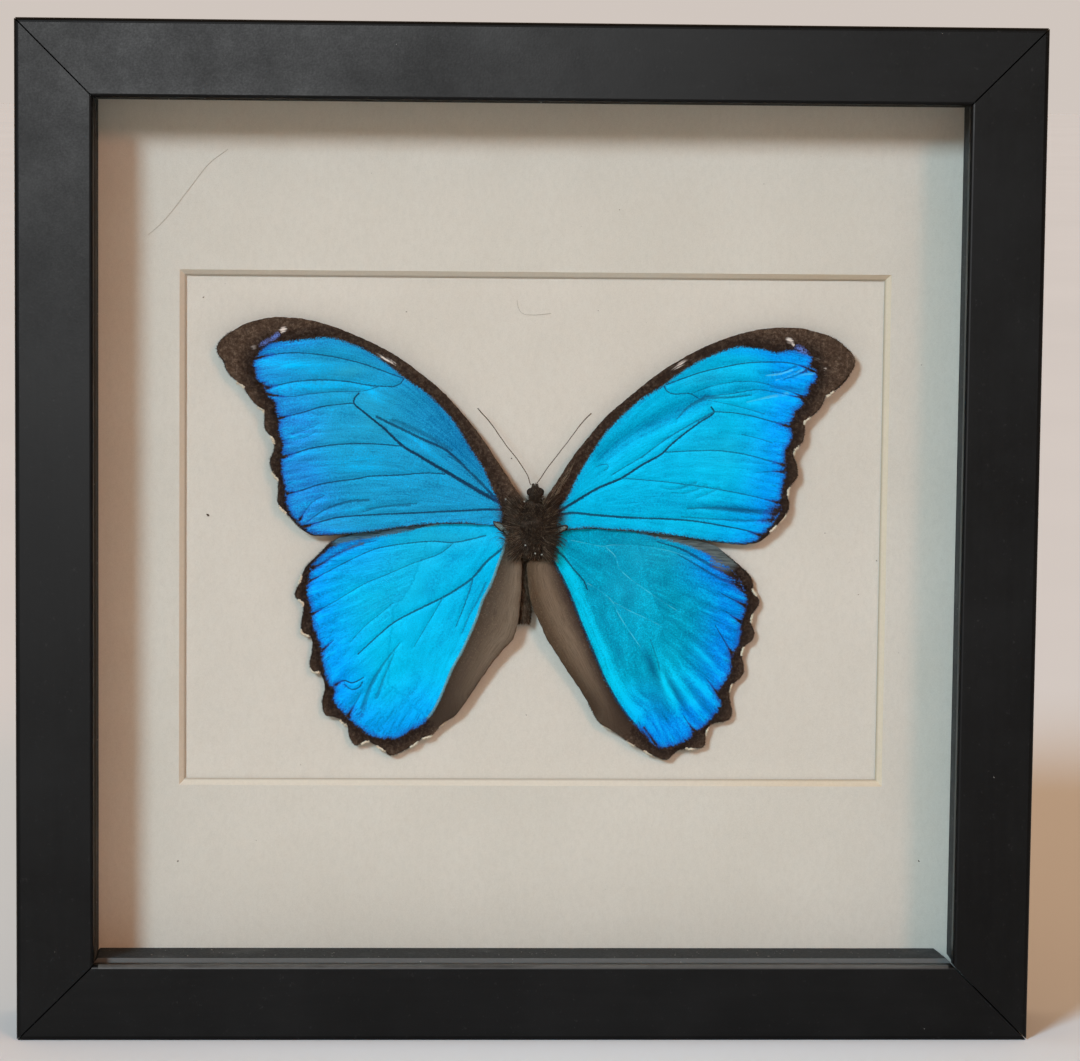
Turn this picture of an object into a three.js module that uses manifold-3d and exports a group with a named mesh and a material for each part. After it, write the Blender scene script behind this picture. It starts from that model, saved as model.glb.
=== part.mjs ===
// A blue morpho butterfly, spread and fixed on a cream board behind a window mat, in a square black
// box frame. Millimetres, +Z up. The frame stands on its bottom rail with its glass facing -Y, and the
// origin is the middle of the footprint. Left and right are those of a viewer in front of the glass.

import * as THREE from 'three';
import { mergeVertices } from 'three/addons/utils/BufferGeometryUtils.js';
import Module from 'manifold-3d';

const wasm = await Module();
wasm.setup();

// ---------------------------------------------------------------- driving dimensions, millimetres

const FRAME_SIDE = 225;
const FRAME_DEPTH = 32;
const FACE_WIDTH = 17;
const REBATE_WIDTH = 6;
const LIP_THICKNESS = 3;
const OUTER_EDGE_RADIUS = 1;
const SIGHT_EDGE_RADIUS = 0.8;

const GLASS_THICKNESS = 2;
const SPACER_DEPTH = 11;
// How far each spacer strip stands out from under the lip, below zero if it is set back under it, and
// how much the bottom one falls short of its neighbour at the back.
const SPACER_SHOWING = { bottom: 0.5, left: 0.3, top: 0.5, right: -0.9 };
const SPACER_CUT_SHORT = 1.4;
const MAT_THICKNESS = 1.4;
const BOARD_THICKNESS = 2;
const PANEL_THICKNESS = 3;
const CLEARANCE = 0.3;

const WINDOW = { width: 155.4, height: 112.7, x: 1.8, z: 112.3 };

const TAB = { width: 6, thickness: 0.5, over_panel: 9, in_slot: 4, from_centre: 60 };
const HANGER = {
  length: 46, height: 10, thickness: 0.8, rise: 1.8, z: 192, ear: 8, bend: 2.5,
  teeth: 9, tooth_depth: 2, plain_end: 11,
};
const RIVET = {
  head_radius: 2.2, head_height: 0.8, shoulder: 0.75, shank_radius: 1, from_centre: 19, hole_depth: 1.6,
};

const WING_THICKNESS = 0.4;
const BUTTERFLY = { x: 1.2, z: 113.4 };

// How finely round things are divided, and how coarsely the bent wings are.
const EDGE_STEPS = 4;
const TAB_END_STEPS = 8;
const PIN_SIDES = 20;
const BODY_SIDES = 24;
const BALL = { sides: 20, rings: 12 };
const OUTLINE_STEPS = 2;
const WING_CELL = 6;

// Reach of the tools that cut a flat outline right through a thin piece.
const CUTTER_DEPTH = 10;

// ---------------------------------------------------------------- derived places

const HALF_SIDE = FRAME_SIDE / 2;
const FRONT_Y = -FRAME_DEPTH / 2;
const WALL_WIDTH = FACE_WIDTH - REBATE_WIDTH;
const PACK_SIDE = FRAME_SIDE - 2 * (WALL_WIDTH + CLEARANCE);
const GLASS_Y = FRONT_Y + LIP_THICKNESS + CLEARANCE;
const SPACER_Y = GLASS_Y + GLASS_THICKNESS + CLEARANCE;
const MAT_Y = SPACER_Y + SPACER_DEPTH + CLEARANCE;
const BOARD_Y = MAT_Y + MAT_THICKNESS + CLEARANCE;
const PANEL_Y = BOARD_Y + BOARD_THICKNESS + CLEARANCE;
const PANEL_BACK_Y = PANEL_Y + PANEL_THICKNESS;

// ---------------------------------------------------------------- butterfly outlines
// [across, up] from the middle of the thorax, as seen from the front. Each wing's outline runs as one
// closed loop; the scalloped stretches have a point on each lobe and in each notch.

const LEFT_FOREWING = [
  [-1.6, 4.4], [-4.6, 9.7], [-7.4, 13.9], [-11.7, 20.2], [-16, 25.5], [-20.3, 30.1], [-24.6, 33.7],
  [-28.8, 36.8], [-33.1, 39.4], [-41.6, 43.2], [-48.7, 45.5], [-55.7, 46.3], [-59.9, 45.9],
  [-64.1, 44.7], [-66.9, 43.1], [-69.1, 41.4], [-70.2, 39.6], [-69.8, 37.7], [-68.8, 36.4],
  [-68.2, 34.7], [-67.1, 33.1], [-65.6, 31.9], [-64.3, 30.8], [-63.2, 28.8], [-61.2, 26.6],
  [-59.8, 25.5], [-59.5, 21.5], [-57.5, 18.7], [-57.5, 17], [-58.4, 14], [-57.4, 11], [-56.6, 10.2],
  [-56.6, 7.9], [-56.4, 4.5], [-54.1, 2], [-51.5, -0.8], [-50.1, -1.8], [-48.6, -2.3],
  [-45.3, -2.3], [-37.7, -1.7], [-32.1, -0.9], [-26.4, -0.1], [-20.8, 0.4], [-15.1, 0.5],
  [-10.4, 0.3], [-3.9, 0.3],
];

const RIGHT_FOREWING = [
  [2.4, 4.6], [5.9, 10.9], [8.7, 15.4], [12.3, 20], [16.2, 24.6], [20.7, 28.6], [25.5, 32.6],
  [29.7, 35.7], [33.9, 38.2], [38.1, 40.4], [42.8, 42.3], [47, 43.6], [51.3, 44.5], [55.5, 44.8],
  [59.8, 44.6], [64, 43.6], [66.9, 42.5], [69.5, 40.6], [71.2, 38.7], [71.7, 37.2], [71.4, 35.8],
  [70.7, 34.7], [69.9, 33.3], [68.2, 31.5], [66.6, 30.2], [65.3, 29.3], [64.3, 27.2], [62.4, 25.1],
  [60.7, 23.8], [60.7, 21.5], [60.4, 19.5], [58.6, 17.3], [58.4, 15.8], [59.2, 13.8], [59.1, 11.3],
  [57.4, 8.8], [57.2, 7.1], [57.5, 4.3], [56, 1.9], [55.1, 0.8], [53.5, -0.9], [52.7, -2],
  [51.1, -3.1], [49.2, -3.7], [47.2, -3.9], [41.2, -3.4], [35.2, -2.5], [30.2, -1.8],
  [24.5, -1.2], [18.8, -0.8], [13.2, -0.4], [4.1, -0.3],
];

const LEFT_HINDWING = [
  [-3.6, 0.2], [-9, 2.4], [-18, 3.2], [-28, 2], [-36, -0.6], [-41.1, -2.4], [-43.3, -3.1],
  [-45.3, -4.3], [-47.2, -6.3], [-49.2, -8.3], [-50.6, -10], [-51.2, -11.7], [-52, -13.7],
  [-52.7, -15.5], [-52.4, -16.6], [-51.1, -17.4], [-50.8, -18.9], [-51.4, -22.9], [-51.1, -24.3],
  [-49.1, -25.3], [-48.7, -27.2], [-49.3, -31.8], [-48.2, -33.2], [-47.2, -33.2], [-45.9, -36.3],
  [-46.5, -40.3], [-45.8, -42.8], [-43.2, -43.4], [-41.7, -44.7], [-40.8, -45.4], [-40.4, -47.8],
  [-39, -49.7], [-36.9, -49], [-36, -48.8], [-34, -50], [-33.1, -50.5], [-31.3, -51.9],
  [-29.8, -51.6], [-26, -49.6], [-24.1, -48.1], [-22.4, -47.7], [-19.6, -44.7], [-16.7, -42.7],
  [-15.1, -40.7], [-13.4, -38.1], [-10.9, -34.3], [-8.4, -30.6], [-5.8, -27.4], [-4.1, -25.4],
  [-3.3, -23.1], [-2.9, -21.4], [-2.4, -16], [-2.2, -10], [-2.4, -6.2],
];

const RIGHT_HINDWING = [
  [3.6, -0.6], [9, 1.8], [18, 2.4], [27, 1], [34, -1.6], [39.5, -3.7], [41.3, -4.3], [43.3, -5.9],
  [47.3, -9.3], [48.9, -10.9], [49.7, -12.3], [49.8, -14.3], [50.8, -15.7], [51.2, -17.3],
  [49.7, -20], [49.5, -21.8], [50.2, -23.8], [49.9, -25.5], [48.6, -26.5], [47.5, -28.1],
  [48, -32.7], [47.3, -34.1], [45.1, -36.1], [44.8, -38.2], [45.5, -42.2], [44.9, -43.6],
  [41.8, -44.4], [40.4, -45.1], [39.7, -46.5], [39.3, -49.7], [38.2, -50.2], [34.7, -50.3],
  [33, -51], [31.1, -52.7], [29.6, -52.5], [25.6, -50.6], [23, -49.2], [19.3, -46.6],
  [15.3, -44], [13.8, -41.2], [11.2, -36.9], [8.3, -32.6], [5.4, -28.1], [3.4, -24.9],
  [1.9, -21.5], [-0.1, -16.9], [-0.9, -12.1], [-0.8, -7.6], [1.6, -6.2],
];

// Half-width against height for the bodies of revolution, from the tail end up.
const THORAX_PROFILE = [
  [0, -6.6], [1.6, -6.2], [2.7, -4.6], [3.3, -2], [3.4, 0.8], [3.1, 3.2], [2.3, 5], [1.2, 6], [0, 6.2],
];
const ABDOMEN_PROFILE = [
  [0, -21.8], [1.1, -21.7], [1.3, -20.6], [1.45, -17], [1.4, -12], [1.2, -9], [0.8, -7.3], [0, -7.1],
];

// Each antenna from its socket to its tip: [across, up, height over the mount board].
const LEFT_ANTENNA = [
  [-0.2, 10, 5.2], [-1.2, 12, 5.6], [-3.2, 14.8, 5.8], [-5.9, 18.2, 5.6], [-9.6, 23.3, 4.9],
  [-12.4, 26.5, 4.2],
];
const RIGHT_ANTENNA = [
  [1.2, 10.2, 5.2], [3.7, 13.9, 5.7], [7.7, 19.3, 5.5], [10.8, 23.4, 4.9], [12.9, 25.5, 4.4],
];

// Height of each body part's middle over the board, and how flat the body parts are.
const THORAX_LIFT = 4;
const THORAX_FLATTENING = 0.925;
const ABDOMEN_X = -1.5;
const ABDOMEN_LIFT = 1.85;
const ABDOMEN_FLATTENING = 0.72;
const ABDOMEN_TILT = 0.06;
const HEAD = { x: 0.6, z: 7.7, lift: 4.6, radius: 1.45, eye_radius: 0.85, eye_out: 1.1, eye_up: 0.15 };
const ANTENNA = { radius: 0.18, sides: 6, steps: 20 };

// ---------------------------------------------------------------- materials

function material(color, roughness, metalness = 0) {
  return new THREE.MeshStandardMaterial({ color, roughness, metalness });
}

const satinBlack = material(0x2a2b2b, 0.45);
const clearGlass = new THREE.MeshStandardMaterial({
  color: 0xf4fbf8, roughness: 0.03, metalness: 0, transparent: true, opacity: 0.15,
});
const darkGreyCard = material(0x4b4d4c, 0.85);
const creamMat = material(0xcbc6b8, 0.9);
const creamBoard = material(0xcdc8bb, 0.9);
const brownFibreboard = material(0x8d6b48, 0.85);
const zincSteel = material(0xb4b6b6, 0.4, 0.9);
const darkBody = material(0x3a2d25, 0.9);
const forewingBlue = material(0x1f8fc8, 0.5);
const hindwingBlue = material(0x12a6dc, 0.5);

// ---------------------------------------------------------------- geometry helpers

function toSolid(geometry) {
  const bare = geometry.clone();
  bare.deleteAttribute('normal');
  bare.deleteAttribute('uv');
  const merged = mergeVertices(bare, 1e-4);
  return new wasm.Manifold(new wasm.Mesh({
    numProp: 3,
    vertProperties: Float32Array.from(merged.attributes.position.array),
    triVerts: Uint32Array.from(merged.index.array),
  }));
}

function toGeometry(solid) {
  const mesh = solid.getMesh();
  const geometry = new THREE.BufferGeometry();
  geometry.setAttribute('position', new THREE.BufferAttribute(mesh.vertProperties, mesh.numProp));
  geometry.setIndex(new THREE.BufferAttribute(mesh.triVerts, 1));
  geometry.computeVertexNormals();
  return geometry;
}

function named(name, geometry, look) {
  const mesh = new THREE.Mesh(geometry, look);
  mesh.name = name;
  return mesh;
}

function block(size, centre) {
  const geometry = new THREE.BoxGeometry(...size);
  geometry.translate(...centre);
  return geometry;
}

// A square sheet filling the space inside the rails, its front face at y.
function sheet(side, thickness, y) {
  return block([side, thickness, side], [0, y + thickness / 2, HALF_SIDE]);
}

// A closed loop of [x, z] points as a flat plate, its front face at y.
function plate(outline, y, thickness) {
  const shape = new THREE.Shape(outline.map(([x, z]) => new THREE.Vector2(x, z)));
  const geometry = new THREE.ExtrudeGeometry(shape, { depth: thickness, bevelEnabled: false });
  geometry.rotateX(Math.PI / 2);
  geometry.translate(0, y + thickness, 0);
  return geometry;
}

// A round rod or pin along Y, from y_front to y_back.
function pin(radius, y_front, y_back, x, z) {
  const geometry = new THREE.CylinderGeometry(radius, radius, y_back - y_front, PIN_SIDES);
  geometry.translate(x, (y_front + y_back) / 2, z);
  return geometry;
}

// A quarter circle of [inset, y] points around a centre, from one angle to another.
function arc(centre_inset, centre_y, radius, from, to, steps) {
  const points = [];
  for (let step = 0; step <= steps; step += 1) {
    const angle = from + ((to - from) * step) / steps;
    points.push([centre_inset + radius * Math.cos(angle), centre_y + radius * Math.sin(angle)]);
  }
  return points;
}

// A bar along the bottom of the frame, mitred at both ends. The section is a loop of [inset, y]
// points, where inset is measured inwards from the frame's outer face. The right end can fall short
// towards the bar's back.
function mitredBar(section, short_at_back = 0) {
  const contour = section.map(([inset, y]) => new THREE.Vector2(inset, y));
  if (THREE.ShapeUtils.area(contour) < 0) contour.reverse();
  const mitre_gap = CLEARANCE / Math.SQRT2;
  const front = Math.min(...contour.map((point) => point.y));
  const back = Math.max(...contour.map((point) => point.y));
  const positions = [];
  for (const side of [-1, 1]) {
    for (const point of contour) {
      const slant = side > 0 ? (short_at_back * (point.y - front)) / (back - front) : 0;
      const reach = HALF_SIDE - point.x - mitre_gap - slant;
      positions.push(side * reach, point.y, point.x - HALF_SIDE);
    }
  }
  const count = contour.length;
  const faces = [];
  for (const [a, b, c] of THREE.ShapeUtils.triangulateShape(contour, [])) {
    faces.push(a, b, c, count + c, count + b, count + a);
  }
  for (let here = 0; here < count; here += 1) {
    const next = (here + 1) % count;
    faces.push(next, here, count + here, next, count + here, count + next);
  }
  const geometry = new THREE.BufferGeometry();
  geometry.setAttribute('position', new THREE.Float32BufferAttribute(positions, 3));
  geometry.setIndex(faces);
  geometry.computeVertexNormals();
  return geometry;
}

// Turns a mesh made for the bottom of the frame to one of its four sides.
const SIDE_TURNS = { bottom: 0, left: Math.PI / 2, top: Math.PI, right: -Math.PI / 2 };

function turnToSide(mesh, side) {
  mesh.rotation.y = SIDE_TURNS[side];
  mesh.position.z = HALF_SIDE;
  return mesh;
}

// ---------------------------------------------------------------- frame

function railSection() {
  const outer = OUTER_EDGE_RADIUS;
  const sight = SIGHT_EDGE_RADIUS;
  return [
    ...arc(outer, FRONT_Y + outer, outer, Math.PI, 1.5 * Math.PI, EDGE_STEPS),
    ...arc(FACE_WIDTH - sight, FRONT_Y + sight, sight, 1.5 * Math.PI, 2 * Math.PI, EDGE_STEPS),
    [FACE_WIDTH, FRONT_Y + LIP_THICKNESS],
    [WALL_WIDTH, FRONT_Y + LIP_THICKNESS],
    [WALL_WIDTH, FRONT_Y + FRAME_DEPTH],
    [0, FRONT_Y + FRAME_DEPTH],
  ];
}

// The slot in a rail's inner wall that one retaining tab is pushed into.
function tabSlot(x) {
  const width = TAB.width + 2 * CLEARANCE;
  const height = TAB.thickness + 2 * CLEARANCE;
  const reach = TAB.in_slot + CLEARANCE;
  const inset = WALL_WIDTH - reach / 2 + CLEARANCE / 2;
  return block([width, height, reach + CLEARANCE], [x, PANEL_BACK_Y + height / 2, inset - HALF_SIDE]);
}

function rail(side) {
  let solid = toSolid(mitredBar(railSection()));
  for (const direction of [-1, 1]) {
    solid = solid.subtract(toSolid(tabSlot(direction * TAB.from_centre)));
  }
  return turnToSide(named(`rail_${side}`, toGeometry(solid), satinBlack), side);
}

function spacer(side) {
  const outer = WALL_WIDTH + CLEARANCE;
  const inner = FACE_WIDTH + SPACER_SHOWING[side];
  const back = SPACER_Y + SPACER_DEPTH;
  const section = [[outer, SPACER_Y], [inner, SPACER_Y], [inner, back], [outer, back]];
  const cut_short = side === 'bottom' ? SPACER_CUT_SHORT : 0;
  return turnToSide(named(`spacer_${side}`, mitredBar(section, cut_short), darkGreyCard), side);
}

function glassPane() {
  return named('glass_pane', sheet(PACK_SIDE, GLASS_THICKNESS, GLASS_Y), clearGlass);
}

// The bevelled cut-out of the mat: a solid that narrows at 45 degrees from front to back.
function windowCutter() {
  const over = CLEARANCE;
  const front = { y: MAT_Y - over, grow: MAT_THICKNESS + over };
  const back = { y: MAT_Y + MAT_THICKNESS + over, grow: -over };
  const positions = [];
  for (const { y, grow } of [front, back]) {
    for (const [across, up] of [[-1, -1], [1, -1], [1, 1], [-1, 1]]) {
      const x = WINDOW.x + across * (WINDOW.width / 2 + grow);
      const z = WINDOW.z + up * (WINDOW.height / 2 + grow);
      positions.push(x, y, z);
    }
  }
  const faces = [0, 1, 2, 0, 2, 3, 4, 6, 5, 4, 7, 6];
  for (let here = 0; here < 4; here += 1) {
    const next = (here + 1) % 4;
    faces.push(next, here, 4 + here, next, 4 + here, 4 + next);
  }
  const geometry = new THREE.BufferGeometry();
  geometry.setAttribute('position', new THREE.Float32BufferAttribute(positions, 3));
  geometry.setIndex(faces);
  return geometry;
}

function windowMat() {
  const card = toSolid(sheet(PACK_SIDE, MAT_THICKNESS, MAT_Y));
  return named('window_mat', toGeometry(card.subtract(toSolid(windowCutter()))), creamMat);
}

function mountBoard() {
  return named('mount_board', sheet(PACK_SIDE, BOARD_THICKNESS, BOARD_Y), creamBoard);
}

function backPanel() {
  const radius = RIVET.shank_radius + CLEARANCE;
  const bottom = PANEL_BACK_Y - RIVET.hole_depth;
  const top = PANEL_BACK_Y + CLEARANCE;
  let solid = toSolid(sheet(PACK_SIDE, PANEL_THICKNESS, PANEL_Y));
  for (const direction of [-1, 1]) {
    const hole = pin(radius, bottom, top, direction * RIVET.from_centre, HANGER.z);
    solid = solid.subtract(toSolid(hole));
  }
  return named('back_panel', toGeometry(solid), brownFibreboard);
}

// A thin steel point, one end in the rail's slot and the rounded end over the back panel.
function retainingTab(side, place, x) {
  const half = TAB.width / 2;
  const root = WALL_WIDTH - TAB.in_slot - HALF_SIDE;
  const shoulder = WALL_WIDTH + TAB.over_panel - half - HALF_SIDE;
  const outline = [[x - half, root], [x + half, root]];
  outline.push(...arc(x, shoulder, half, 0, Math.PI, TAB_END_STEPS));
  const tab = plate(outline, PANEL_BACK_Y + CLEARANCE, TAB.thickness);
  return turnToSide(named(`retaining_tab_${side}_${place}`, tab, zincSteel), side);
}

// The hanger's outline from behind: a plain strip with teeth along the middle of its lower edge.
function hangerOutline() {
  const half = HANGER.length / 2;
  const top = HANGER.height / 2;
  const toothed_half = half - HANGER.plain_end;
  const pitch = (2 * toothed_half) / HANGER.teeth;
  const outline = [[-half, top], [-half, -top], [-toothed_half, -top]];
  for (let tooth = 0; tooth < HANGER.teeth; tooth += 1) {
    const left = -toothed_half + tooth * pitch;
    outline.push([left + pitch / 2, -top + HANGER.tooth_depth], [left + pitch, -top]);
  }
  outline.push([half, -top], [half, top]);
  return outline;
}

// The hanger from above: two flat ears on the panel and a raised bridge between them.
function hangerStrip() {
  const end = HANGER.length / 2 + CLEARANCE;
  const ear = HANGER.length / 2 - HANGER.ear;
  const bridge = ear - HANGER.bend;
  const low = PANEL_BACK_Y + CLEARANCE;
  const high = low + HANGER.rise;
  const bent = [[-end, low], [-ear, low], [-bridge, high], [bridge, high], [ear, low], [end, low]];
  const bent_back = bent.map(([x, y]) => [x, y + HANGER.thickness]).reverse();
  const shape = new THREE.Shape([...bent, ...bent_back].map(([x, y]) => new THREE.Vector2(x, y)));
  const height = HANGER.height + 2 * CLEARANCE;
  const strip = new THREE.ExtrudeGeometry(shape, { depth: height, bevelEnabled: false });
  strip.translate(0, 0, -height / 2);
  return strip;
}

function sawtoothHanger() {
  const radius = RIVET.shank_radius + CLEARANCE;
  const beyond = PANEL_BACK_Y + CUTTER_DEPTH;
  let solid = toSolid(hangerStrip()).intersect(toSolid(plate(hangerOutline(), PANEL_BACK_Y, CUTTER_DEPTH)));
  for (const direction of [-1, 1]) {
    const hole = pin(radius, PANEL_BACK_Y, beyond, direction * RIVET.from_centre, 0);
    solid = solid.subtract(toSolid(hole));
  }
  const geometry = toGeometry(solid);
  geometry.translate(0, 0, HANGER.z);
  return named('sawtooth_hanger', geometry, zincSteel);
}

function hangerRivet(name, direction) {
  const shank_front = PANEL_BACK_Y - RIVET.hole_depth + CLEARANCE;
  const seat = PANEL_BACK_Y + CLEARANCE + HANGER.thickness + CLEARANCE;
  const shoulder = [RIVET.head_radius * RIVET.shoulder, seat + RIVET.head_height * RIVET.shoulder];
  const profile = [
    [0, shank_front], [RIVET.shank_radius, shank_front], [RIVET.shank_radius, seat],
    [RIVET.head_radius, seat], shoulder, [0, seat + RIVET.head_height],
  ];
  const points = profile.map(([radius, y]) => new THREE.Vector2(radius, y));
  const geometry = new THREE.LatheGeometry(points, PIN_SIDES);
  geometry.translate(direction * RIVET.from_centre, 0, HANGER.z);
  return named(name, geometry, zincSteel);
}

// ---------------------------------------------------------------- butterfly

const FOREWING = { tip_lift: 2.8, root_rise: 1.9 };
const HINDWING = { tip_lift: 1.8, root_rise: 2.1 };
const WING_BEND = { starts: 2, fades_over: 9 };

// Height of a wing's mid-surface over the mount board, falling from its root to its tip.
function wingLift(across, tip_lift, root_rise) {
  const from_root = Math.abs(across) - WING_BEND.starts;
  return tip_lift + root_rise * Math.exp(-from_root / WING_BEND.fades_over);
}

function smoothLoop(outline) {
  const points = outline.map(([x, z]) => new THREE.Vector3(x, 0, z));
  const curve = new THREE.CatmullRomCurve3(points, true, 'centripetal');
  const fine = curve.getPoints(outline.length * OUTLINE_STEPS).slice(0, -1);
  return fine.map((point) => [point.x, point.z]);
}

// A turned shape around the +Z axis through x, flattened towards the board, with its middle at lift.
function turnedBody(profile, x, lift, flattening, grow = 0) {
  const points = profile.map(([radius, z]) => new THREE.Vector2(radius > 0 ? radius + grow : 0, z));
  points[0].y -= grow;
  points[points.length - 1].y += grow;
  const geometry = new THREE.LatheGeometry(points, BODY_SIDES);
  geometry.rotateX(Math.PI / 2);
  geometry.scale(1, flattening, 1);
  geometry.translate(x, BOARD_Y - lift, 0);
  return geometry;
}

function thoraxShape(grow = 0) {
  return turnedBody(THORAX_PROFILE, 0, THORAX_LIFT, THORAX_FLATTENING, grow);
}

function abdomenShape(grow = 0) {
  const geometry = turnedBody(ABDOMEN_PROFILE, ABDOMEN_X, ABDOMEN_LIFT, ABDOMEN_FLATTENING, grow);
  const middle = (ABDOMEN_PROFILE[0][1] + ABDOMEN_PROFILE[ABDOMEN_PROFILE.length - 1][1]) / 2;
  geometry.translate(-ABDOMEN_X, ABDOMEN_LIFT - BOARD_Y, -middle);
  geometry.rotateX(ABDOMEN_TILT);
  geometry.translate(ABDOMEN_X, BOARD_Y - ABDOMEN_LIFT, middle);
  return geometry;
}

// A slab around a wing's outline, bent to the wing's height over the board.
function bentSlab(loop, { tip_lift, root_rise }) {
  const xs = loop.map(([x]) => x);
  const zs = loop.map(([, z]) => z);
  const left = Math.min(...xs) - CLEARANCE;
  const right = Math.max(...xs) + CLEARANCE;
  const low = Math.min(...zs) - CLEARANCE;
  const high = Math.max(...zs) + CLEARANCE;
  const columns = Math.ceil((right - left) / WING_CELL);
  const rows = Math.ceil((high - low) / (2 * WING_CELL));
  const slab = new THREE.BoxGeometry(right - left, WING_THICKNESS, high - low, columns, 1, rows);
  slab.translate((left + right) / 2, 0, (low + high) / 2);
  const position = slab.attributes.position;
  for (let corner = 0; corner < position.count; corner += 1) {
    const lift = wingLift(position.getX(corner), tip_lift, root_rise);
    position.setY(corner, position.getY(corner) + BOARD_Y - lift);
  }
  return slab;
}

// A thin bent plate of the wing's outline, cut back where the thorax and the abdomen lie.
function wing(name, outline, lift, look) {
  const loop = smoothLoop(outline);
  const solid = toSolid(bentSlab(loop, lift))
    .intersect(toSolid(plate(loop, BOARD_Y - CUTTER_DEPTH, CUTTER_DEPTH)))
    .subtract(toSolid(thoraxShape(CLEARANCE)))
    .subtract(toSolid(abdomenShape(CLEARANCE)));
  return named(name, toGeometry(solid), look);
}

function head() {
  const skull = new THREE.SphereGeometry(HEAD.radius, BALL.sides, BALL.rings);
  skull.translate(HEAD.x, BOARD_Y - HEAD.lift, HEAD.z);
  let solid = toSolid(skull);
  for (const direction of [-1, 1]) {
    const eye = new THREE.SphereGeometry(HEAD.eye_radius, BALL.sides, BALL.rings);
    eye.translate(HEAD.x + direction * HEAD.eye_out, BOARD_Y - HEAD.lift, HEAD.z + HEAD.eye_up);
    solid = solid.add(toSolid(eye));
  }
  const clear_of_thorax = toSolid(thoraxShape(CLEARANCE));
  return named('butterfly_head', toGeometry(solid.subtract(clear_of_thorax)), darkBody);
}

function antenna(name, route) {
  const points = route.map(([x, z, lift]) => new THREE.Vector3(x, BOARD_Y - lift, z));
  const ring = arc(0, 0, ANTENNA.radius, 0, 2 * Math.PI, ANTENNA.sides).slice(0, -1);
  const section = new THREE.Shape(ring.map(([x, y]) => new THREE.Vector2(x, y)));
  const path = new THREE.CatmullRomCurve3(points);
  const options = { steps: ANTENNA.steps, bevelEnabled: false, extrudePath: path };
  return named(name, new THREE.ExtrudeGeometry(section, options), darkBody);
}

function butterfly() {
  const insect = new THREE.Group();
  insect.add(
    named('butterfly_thorax', thoraxShape(), darkBody),
    named('butterfly_abdomen', abdomenShape(), darkBody),
    head(),
    antenna('antenna_left', LEFT_ANTENNA),
    antenna('antenna_right', RIGHT_ANTENNA),
    wing('forewing_left', LEFT_FOREWING, FOREWING, forewingBlue),
    wing('forewing_right', RIGHT_FOREWING, FOREWING, forewingBlue),
    wing('hindwing_left', LEFT_HINDWING, HINDWING, hindwingBlue),
    wing('hindwing_right', RIGHT_HINDWING, HINDWING, hindwingBlue),
  );
  insect.position.set(BUTTERFLY.x, 0, BUTTERFLY.z);
  return insect;
}

// ---------------------------------------------------------------- assembly

const specimen = new THREE.Group();
for (const side of Object.keys(SIDE_TURNS)) {
  specimen.add(rail(side), spacer(side));
  specimen.add(retainingTab(side, 'a', -TAB.from_centre), retainingTab(side, 'b', TAB.from_centre));
}
specimen.add(glassPane(), windowMat(), mountBoard(), backPanel());
specimen.add(sawtoothHanger(), hangerRivet('hanger_rivet_left', -1), hangerRivet('hanger_rivet_right', 1));
specimen.add(butterfly());

export default specimen;
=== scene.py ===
"""Looks of the framed butterfly specimen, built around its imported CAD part.

The scene is in metres and in the part's own frame: X to the right, Z up, the glass facing -Y. The tables
below are in millimetres. Every butterfly table counts from the middle of the thorax: [across, up].
"""

import math

import bpy
import numpy as np
from mathutils import Matrix, Vector, noise
from mathutils.geometry import delaunay_2d_cdt


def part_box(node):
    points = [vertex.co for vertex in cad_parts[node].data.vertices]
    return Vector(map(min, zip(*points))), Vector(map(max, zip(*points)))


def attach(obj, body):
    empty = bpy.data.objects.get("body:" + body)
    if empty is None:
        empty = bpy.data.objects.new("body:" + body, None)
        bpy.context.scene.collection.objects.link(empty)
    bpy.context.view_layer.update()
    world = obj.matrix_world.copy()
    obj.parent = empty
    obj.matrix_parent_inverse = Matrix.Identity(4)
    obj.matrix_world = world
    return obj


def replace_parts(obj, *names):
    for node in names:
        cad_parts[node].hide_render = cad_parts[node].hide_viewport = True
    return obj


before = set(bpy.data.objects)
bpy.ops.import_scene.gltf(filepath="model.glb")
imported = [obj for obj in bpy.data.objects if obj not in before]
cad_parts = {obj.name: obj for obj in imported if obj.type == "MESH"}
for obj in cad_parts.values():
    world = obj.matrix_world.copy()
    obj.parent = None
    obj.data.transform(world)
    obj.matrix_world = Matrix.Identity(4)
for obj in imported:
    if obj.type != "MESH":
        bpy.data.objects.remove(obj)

MM = 0.001
BOARD_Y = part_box("mount_board")[0].y / MM
THORAX = (1.2, 113.4)

# ------------------------------------------------------------------ short ways to write a table


def read_points(text):
    """Points from words of numbers with commas between them."""
    return [tuple(map(float, word.split(","))) for word in text.split()]


def read_veins(text):
    """Veins from entries of "name: half-widths at both ends, darkness: points", split by semicolons."""
    found = []
    for entry in text.split(";"):
        name, values, points = entry.split(":")
        start, end, darkness = map(float, values.split())
        found.append((name.strip(), (start, end), darkness, read_points(points)))
    return found


def read_spots(text):
    """Soft spots from entries of a middle, two half-lengths, a turn and an amount, split by commas."""
    found = []
    for entry in text.split(","):
        x, z, long, wide, turn, amount = map(float, entry.split())
        found.append(((x, z), (long, wide), turn, amount))
    return found


# ------------------------------------------------------------------ wing outlines, as in the CAD part

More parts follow.
